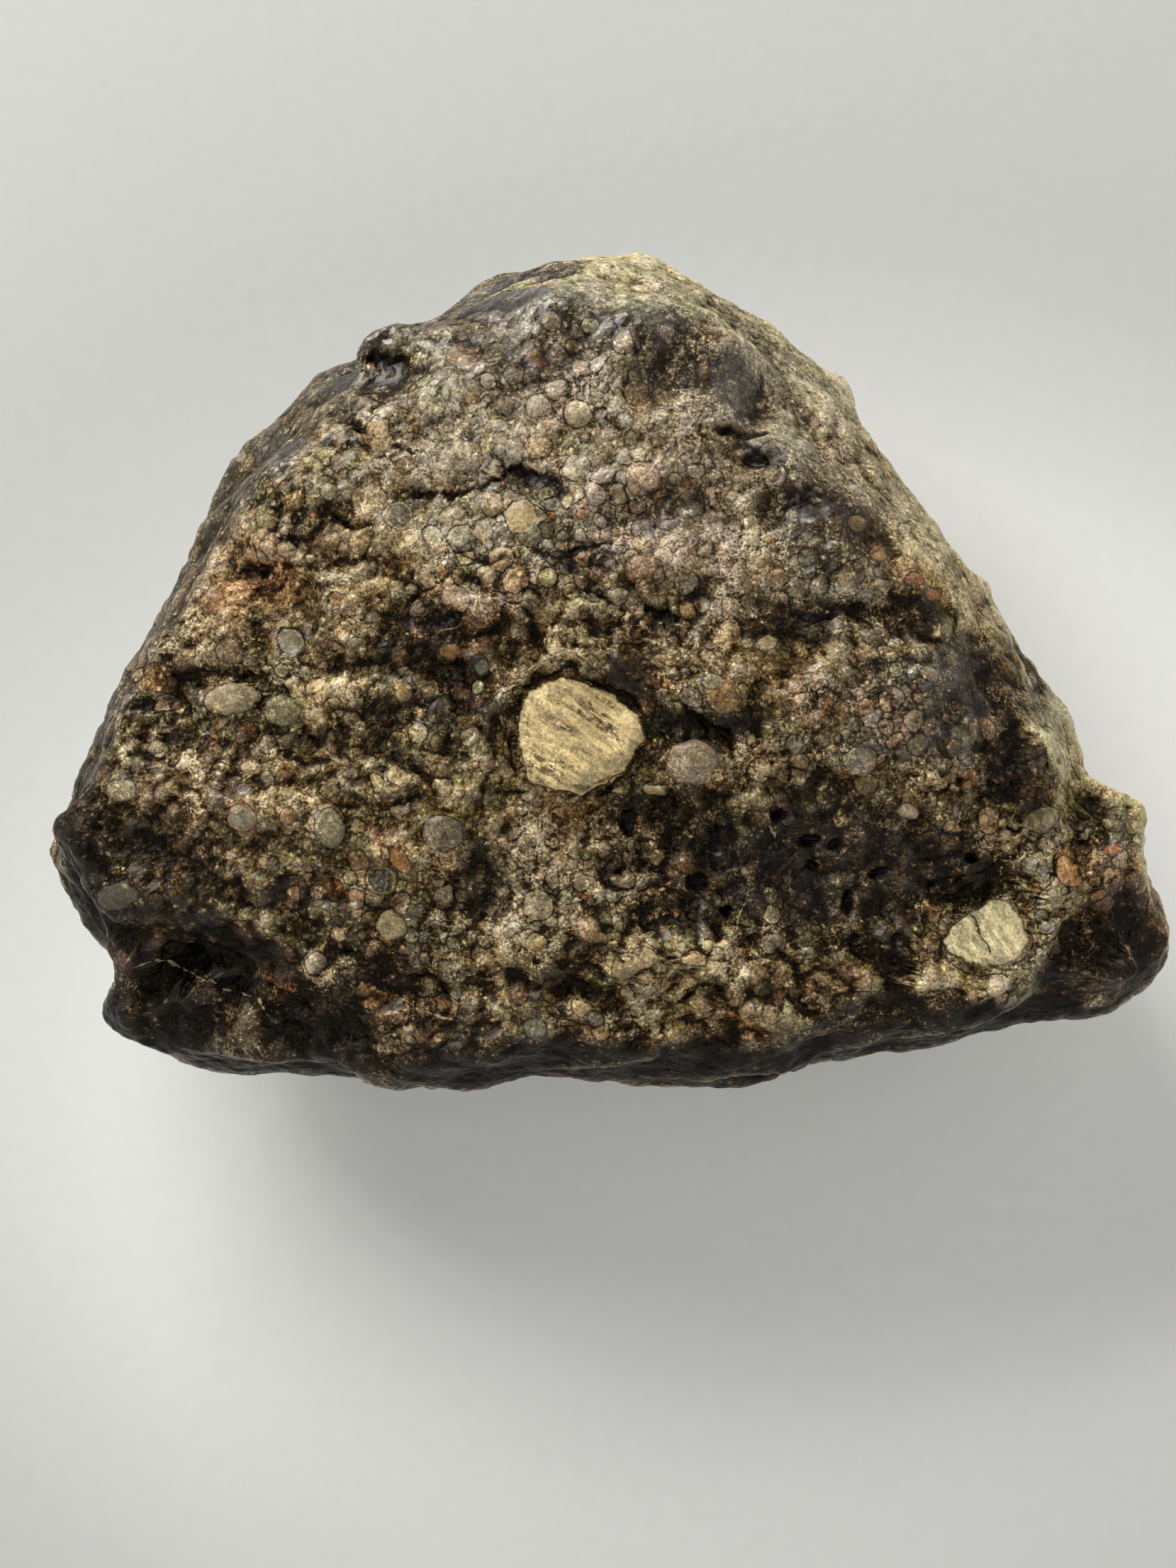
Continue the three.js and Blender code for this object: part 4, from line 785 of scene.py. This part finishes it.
# Pale threads of feldspar and rusted metal run between the chondrules here and there.
THREAD_SPACING, THREAD_BEND, THREAD_LIFT = 0.9, 1.8, 0.3
THREAD_FADE = {1: 0.01, 2: 0.05, 3: 1.0, 4: 0.0}
bent = {"Vector": grain, "Scale": 0.8, "Detail": 2.0}
bent = add(tree, "ShaderNodeTexNoise", bent, out="Color")
bent = add(tree, VM, {0: bent, "Scale": THREAD_BEND}, operation="SCALE")
bent = add(tree, VM, {0: grain, 1: bent}, operation="ADD")
thread = {"Vector": bent, "Scale": 1 / THREAD_SPACING}
thread = add(tree, "ShaderNodeTexVoronoi", thread, feature="DISTANCE_TO_EDGE")
thread = add(tree, RANGE, {"Value": thread, **THREAD_FADE})
there = {"Value": noises["medium"], 1: 0.54, 2: 0.64, 3: 0.0, 4: THREAD_LIFT}
thread = add(tree, M, {0: thread, 1: add(tree, RANGE, there)}, operation="MULTIPLY")
lightness = add(tree, M, {0: lightness, 1: thread}, operation="ADD")

# Patches and walls are lighter or darker as a whole. Creases, nooks and hollows are painted darker, as
# painted shade with some dirt in it, and what stands out is rubbed pale, but less so close to a clast.
TONE_LIFTS = {
    "pale": 0.17, "dark": -0.40, "slate": -0.10, "violet": -0.06, "ashen": 0.03,
    # painted light on the walls that face the light, painted shade on those that face away
    "lit_wall": 0.22, "shaded_wall": -0.15,
}
DEPTH_SHADE_AND_WEAR = (  # measure, from and to in mm, lift at each end
    ("crease", -0.05, 0.0, 0.05, 0.0),
    ("crease", 0.01, 0.06, 0.0, -0.24),
    ("nook", -0.12, 0.0, 0.05, 0.0),
    ("nook", 0.0, 0.2, 0.0, -0.14),
    ("hollow", -0.5, 0.0, 0.08, 0.0),
    ("hollow", 0.0, 0.8, 0.0, -0.10),
)
for tone, change in TONE_LIFTS.items():
    lightness = add(tree, M, {0: kept[tone], 1: change, 2: lightness}, operation="MULTIPLY_ADD")
open_ground = add(tree, RANGE, {"Value": kept["clast_edge"], 1: 0.1, 2: 2.0, 3: 0.3, 4: 1.0})
for name, low, high, lift, fall in DEPTH_SHADE_AND_WEAR:
    part = add(tree, RANGE, {"Value": kept[name], 1: low, 2: high, 3: lift, 4: fall})
    lightness = add(tree, M, {0: part, 1: open_ground, 2: lightness}, operation="MULTIPLY_ADD")

# Three ramps turn lightness into colour: olive silicate, brown weathering and ashen grey.
STOPS = (0.0, 0.18, 0.33, 0.46, 0.6, 0.8, 1.0)
RAMPS = {
    "olive": ("#010000", "#0c0a01", "#27220a", "#454223", "#67663c", "#979569", "#c4c190"),
    "brown": ("#030100", "#180a01", "#361f09", "#583b1c", "#7c5e39", "#ae9062", "#d8ba84"),
    "grey": ("#020101", "#0f0a05", "#291f13", "#494133", "#686056", "#918a7b", "#bcb4a3"),
}
IN_COLOUR = {"out": 2, "data_type": "RGBA"}
TINTED = {**IN_COLOUR, "blend_type": "MULTIPLY"}
ramps = {}
for name, codes in RAMPS.items():
    ramps[name] = add(tree, "ShaderNodeValToRGB", {0: lightness})
    elements = ramps[name].node.color_ramp.elements
    for stop, code in zip(STOPS, codes):
        element = elements[0] if stop == 0 else elements[-1] if stop == 1 else elements.new(stop)
        element.color = linear(code)
surface = add(tree, MIX, {0: warmth, 6: ramps["olive"], 7: ramps["brown"]}, **IN_COLOUR)
# ashen patches grey the stone partly as its own colour and partly as a painted sheen
ASHEN_PATCH, MOST_ASHEN = 0.35, 0.85
ashen = add(tree, M, {0: kept["ashen"], 1: ASHEN_PATCH, 2: ashen}, operation="MULTIPLY_ADD")
ashen = add(tree, M, {0: ashen, 1: MOST_ASHEN}, operation="MINIMUM")
surface = add(tree, MIX, {0: ashen, 6: surface, 7: ramps["grey"]}, **IN_COLOUR)

# Stains tint the stone and leave its lights and darks; the violet and slate tints stand partly for a
# painted grey-violet sheen.
IRON_TINT = (1.35, 0.92, 0.58, 1.0)
STAINS = (
    ("violet", (1.0, 0.87, 0.96, 1.0), 0.9),
    ("slate", (0.78, 0.88, 1.02, 1.0), 0.8),
    ("rust", (1.25, 0.80, 0.50, 1.0), 0.7),
    # a cool tint on the walls that face away, going with their painted shade
    ("shaded_wall", (0.88, 0.94, 1.02, 1.0), 0.7),
)
surface = add(tree, MIX, {0: rusty, 6: surface, 7: IRON_TINT}, **TINTED)
for tone, tint, strength in STAINS:
    lean = {"Value": noises["medium"], 1: 0.35, 2: 0.65, 3: 0.5 * strength, 4: strength}
    share = add(tree, M, {0: kept[tone], 1: add(tree, RANGE, lean)}, operation="MULTIPLY")
    surface = add(tree, MIX, {0: share, 6: surface, 7: tint}, **TINTED)

# Clasts keep their own colour under the stone's grime. The two large ones are sheaves of fibres
# with ochre between them and dark, porous bands; each clast sits in a thin dark seam.
CLAST_RAGGED = 0.07
OWN_SHARE = {2: 0.42, 3: 0.85}  # of a clast's colour, in plain ones and in fibrous ones
OCHRE, BAND_DARK, SEAM = "#94723f", "#2c2014", "#120e0a"
STREAK_HEIGHT, MOTTLE_HEIGHT = 0.10, 0.08
ragged = {"Value": noises["fine"], 1: LOW, 2: HIGH, 3: -CLAST_RAGGED, 4: CLAST_RAGGED}
clast_off = {0: kept["clast_edge"], 1: add(tree, RANGE, ragged)}
clast_off = add(tree, M, clast_off, operation="ADD")
inside = add(tree, RANGE, {"Value": clast_off, 1: -0.07, 2: 0.03, 3: 1.0, 4: 0.0})
deep = add(tree, RANGE, {"Value": clast_off, 1: -0.22, 2: -0.14, 3: 0.0, 4: 1.0})
mottled = add(tree, RANGE, {"Value": noises["fine"], 1: LOW, 2: HIGH, 3: 0.55, 4: 1.3})
speckled = add(tree, RANGE, {"Value": noises["dust"], 1: 0.35, 2: 0.65, 3: 0.6, 4: 1.35})
mottled = add(tree, M, {0: mottled, 1: speckled}, operation="MULTIPLY")
FIBRES = {"Scale": 2.6, "Detail": 4.0, "Roughness": 0.7}
threads = add(tree, "ShaderNodeTexNoise", {"Vector": kept["fibre_place"], **FIBRES})
streaked = add(tree, RANGE, {"Value": threads, 1: 0.4, 2: 0.6, 3: 0.6, 4: 1.2})
streaked = add(tree, M, {0: mottled, 1: streaked}, operation="MULTIPLY")
mottled = {0: kept["clast_fibres"], 2: mottled, 3: streaked}
mottled = add(tree, MIX, mottled, data_type="FLOAT")
body = add(tree, MIX, {0: deep, 6: kept["clast_colour"], 7: kept["clast_rim"]}, **IN_COLOUR)
band = add(tree, M, {0: kept["clast_band"], 1: noises["fine"]}, operation="ADD")
band = add(tree, RANGE, {"Value": band, 1: 0.8, 2: 1.1, 3: 0.0, 4: 0.9})
PORES = {"Scale": 2.6, "Detail": 4.0, "Roughness": 0.75}
pores = add(tree, "ShaderNodeTexNoise", {"Vector": grain, **PORES})
pores = add(tree, RANGE, {"Value": pores, 1: 0.43, 2: 0.53})
fibre = add(tree, RANGE, {"Value": threads, 1: 0.52, 2: 0.58, 3: 1.0, 4: 0.15})
pores = add(tree, M, {0: pores, 1: fibre}, operation="MULTIPLY")
band = add(tree, M, {0: band, 1: pores}, operation="MULTIPLY")
ochre = add(tree, RANGE, {"Value": noises["fine"], 1: 0.48, 2: 0.62, 3: 0.0, 4: 0.35})
ochre = add(tree, M, {0: ochre, 1: kept["clast_fibres"]}, operation="MULTIPLY")
body = add(tree, MIX, {0: ochre, 6: body, 7: linear(OCHRE)}, **IN_COLOUR)
body = add(tree, VM, {0: body, "Scale": mottled}, operation="SCALE")
body = add(tree, MIX, {0: band, 6: body, 7: linear(BAND_DARK)}, **IN_COLOUR)
own = add(tree, MIX, {0: kept["clast_fibres"], **OWN_SHARE}, data_type="FLOAT")
body = add(tree, MIX, {0: own, 6: surface, 7: body}, **IN_COLOUR)
surface = add(tree, MIX, {0: inside, 6: surface, 7: body}, **IN_COLOUR)
around = add(tree, M, {0: clast_off}, operation="ABSOLUTE")
around = add(tree, RANGE, {"Value": around, 1: 0.01, 2: 0.07, 3: 1.0, 4: 0.0})
broken = add(tree, RANGE, {"Value": noises["medium"], 1: 0.4, 2: 0.6, 3: 0.7, 4: 0.1})
around = add(tree, M, {0: around, 1: broken}, operation="MULTIPLY")
surface = add(tree, MIX, {0: around, 6: surface, 7: linear(SEAM)}, **IN_COLOUR)
streaks = add(tree, M, {0: threads, 1: STREAK_HEIGHT}, operation="MULTIPLY")
streaks = {0: noises["fine"], 1: MOTTLE_HEIGHT, 2: streaks}
streaks = add(tree, M, streaks, operation="MULTIPLY_ADD")
height = add(tree, MIX, {0: inside, 2: height, 3: streaks}, data_type="FLOAT")

# Pale veins, black cracks and black pits lie over everything else.
LINES = (  # side, half width, its least share, where the line fades, colour, strength
    ("vein_side", "vein_share", -0.8, 0.2, 1.2, "#b3a584", 0.55),
    ("crack_side", "crack_share", 0.3, 0.4, 1.0, "#080503", 0.95),
)
MOST_WIDTH_SHARE, THINNEST = 1.3, 0.001
PIT_BLACK = "#08080b"
for side, share, least, low, high, mark, strength in LINES:
    off = add(tree, M, {0: kept[side]}, operation="ABSOLUTE")
    ragged = {"Value": noises["fine"], 1: 0.35, 2: 0.65, 3: least, 4: MOST_WIDTH_SHARE}
    width = add(tree, M, {0: kept[share], 1: add(tree, RANGE, ragged)}, operation="MULTIPLY")
    width = add(tree, M, {0: width, 1: THINNEST}, operation="MAXIMUM")
    line = add(tree, M, {0: off, 1: width}, operation="DIVIDE")
    line = add(tree, RANGE, {"Value": line, 1: low, 2: high, 3: strength, 4: 0.0})
    surface = add(tree, MIX, {0: line, 6: surface, 7: linear(mark)}, **IN_COLOUR)
pit = add(tree, RANGE, {"Value": kept["pit_edge"], 1: -0.05, 2: 0.1, 3: 1.0, 4: 0.0})
surface = add(tree, MIX, {0: pit, 6: surface, 7: linear(PIT_BLACK)}, **IN_COLOUR)

# Handling has rubbed the high ground and the slate-blue skin to a gloss; hollows stay matt.
STONE_IOR, STONE_SPECULAR, WARM_GLINT = 1.5, 0.1, (1.0, 0.87, 0.66, 1.0)
RUBBED_GLOSS, RUBBED_ROUGHNESS = 0.5, 0.32
height = add(tree, M, {0: noises["dust"], 1: DUST_HEIGHT, 2: height}, operation="MULTIPLY_ADD")
bump = add(tree, "ShaderNodeBump", {"Height": height, "Distance": MM, "Strength": 1.0})
rough = add(tree, RANGE, {"Value": noises["medium"], 1: 0.35, 2: 0.65, 3: 0.34, 4: 0.5})
rough = add(tree, M, {0: kept["slate"], 1: -0.12, 2: rough}, operation="MULTIPLY_ADD")
gloss = add(tree, RANGE, {"Value": kept["nook"], 1: -0.12, 2: 0.04, 3: RUBBED_GLOSS, 4: 0.0})
matt = add(tree, RANGE, {"Value": kept["dark"], 3: 1.0, 4: 0.15})
gloss = add(tree, M, {0: gloss, 1: matt}, operation="MULTIPLY")
for tone, more in (("slate", 0.5), ("ashen", 0.15)):
    gloss = add(tree, M, {0: kept[tone], 1: more, 2: gloss}, operation="MULTIPLY_ADD")
finish = {
    "Base Color": surface,
    "Roughness": rough,
    "Normal": bump,
    "IOR": STONE_IOR,
    "Specular IOR Level": STONE_SPECULAR,
    "Specular Tint": WARM_GLINT,
    "Coat Weight": gloss,
    "Coat Roughness": RUBBED_ROUGHNESS,
}
finish = add(tree, "ShaderNodeBsdfPrincipled", finish)
add(tree, "ShaderNodeOutputMaterial", {"Surface": finish})

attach(stone, "root")
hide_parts("meteorite")

# --- The floor and the light ---------------------------------------------------------------
# The stone lies on a flat sheet of pale grey card. The card's colour darkens away from the
# stone, in place of light that falls off.
FLOOR_HALF = 1.2
CORNERS = ((-1, -1), (1, -1), (1, 1), (-1, 1))
CARD_TONES = ("#dfe1e0", "#e6e8e7")
CARD_FIBRES = {"Scale": 900.0, "Detail": 4.0}  # paper fibres, about a millimetre
POOL_SHIFT, POOL_SHAPE = (-0.010, 0.018, 0.0), (0.75, 0.95, 0.0)
POOL_FADE = {1: 0.008, 2: 0.052, 3: 0.97, 4: 0.47}
floor_mesh = bpy.data.meshes.new("floor")
corners = [(x * FLOOR_HALF, y * FLOOR_HALF, 0) for x, y in CORNERS]
floor_mesh.from_pydata(corners, [], [(0, 1, 2, 3)])
floor = bpy.data.objects.new("floor", floor_mesh)
bpy.context.scene.collection.objects.link(floor)
board = bpy.data.materials.new("matt card, pale grey")
board.use_nodes = True
tree = board.node_tree
tree.nodes.clear()
where = add(tree, "ShaderNodeTexCoord", out="Object")
mottle = add(tree, "ShaderNodeTexNoise", {"Vector": where, **CARD_FIBRES})
tone = {0: mottle, 6: linear(CARD_TONES[0]), 7: linear(CARD_TONES[1])}
tone = add(tree, MIX, tone, **IN_COLOUR)
off_middle = add(tree, VM, {0: where, 1: POOL_SHIFT}, operation="ADD")
off_middle = add(tree, VM, {0: off_middle, 1: POOL_SHAPE}, operation="MULTIPLY")
off_middle = add(tree, VM, {0: off_middle}, out="Value", operation="LENGTH")
pool = add(tree, RANGE, {"Value": off_middle, **POOL_FADE}, interpolation_type="SMOOTHSTEP")
tone = add(tree, VM, {0: tone, "Scale": pool}, operation="SCALE")
card = add(tree, "ShaderNodeBsdfPrincipled", {"Base Color": tone, "Roughness": 0.9})
add(tree, "ShaderNodeOutputMaterial", {"Surface": card})
floor_mesh.materials.append(board)

# One soft box stands beyond the stone's peak, to the left of it.
SOFT_BOX_PLACE = (-0.22, 0.29, 0.26)
SOFT_BOX_SIZE = (0.34, 0.22)
SOFT_BOX_WATTS = 3.4
SOFT_BOX_COLOUR = (1.0, 0.985, 0.94)
soft_box = bpy.data.lights.new("soft box", "AREA")
soft_box.shape = "RECTANGLE"
soft_box.size, soft_box.size_y = SOFT_BOX_SIZE
soft_box.energy = SOFT_BOX_WATTS
soft_box.color = SOFT_BOX_COLOUR
light = bpy.data.objects.new("soft box", soft_box)
light.location = SOFT_BOX_PLACE
light.rotation_euler = Vector(SOFT_BOX_PLACE).to_track_quat("Z", "Y").to_euler()
bpy.context.scene.collection.objects.link(light)

# The room round it: a ring of pale walls under a dim ceiling, brightest on the near side.
WALL_LIGHT, WALL_COLOUR = 0.98, (1.0, 0.985, 0.95, 1.0)
CEILING_SHARE = 0.06
FAR_SIDE = (-0.3, 0.95, 0.0)
NEAR_SIDE_LIGHT = 1.7
world = bpy.data.worlds.new("studio")
world.use_nodes = True
tree = world.node_tree
tree.nodes.clear()
way = add(tree, "ShaderNodeTexCoord", out="Generated")
rise = add(tree, "ShaderNodeSeparateXYZ", {0: way}, out=2)
ring = {"Value": rise, 1: 0.5, 2: 0.92, 3: WALL_LIGHT, 4: CEILING_SHARE * WALL_LIGHT}
ring = add(tree, RANGE, ring)
beyond = add(tree, VM, {0: way, 1: FAR_SIDE}, out="Value", operation="DOT_PRODUCT")
beyond = add(tree, RANGE, {"Value": beyond, 1: -1.0, 2: 1.0, 3: NEAR_SIDE_LIGHT, 4: 1.0})
strength = add(tree, M, {0: ring, 1: beyond}, operation="MULTIPLY")
sky = add(tree, "ShaderNodeBackground", {"Color": WALL_COLOUR, "Strength": strength})
add(tree, "ShaderNodeOutputWorld", {"Surface": sky})
bpy.context.scene.world = world
bpy.context.scene.view_settings.view_transform = "Standard"
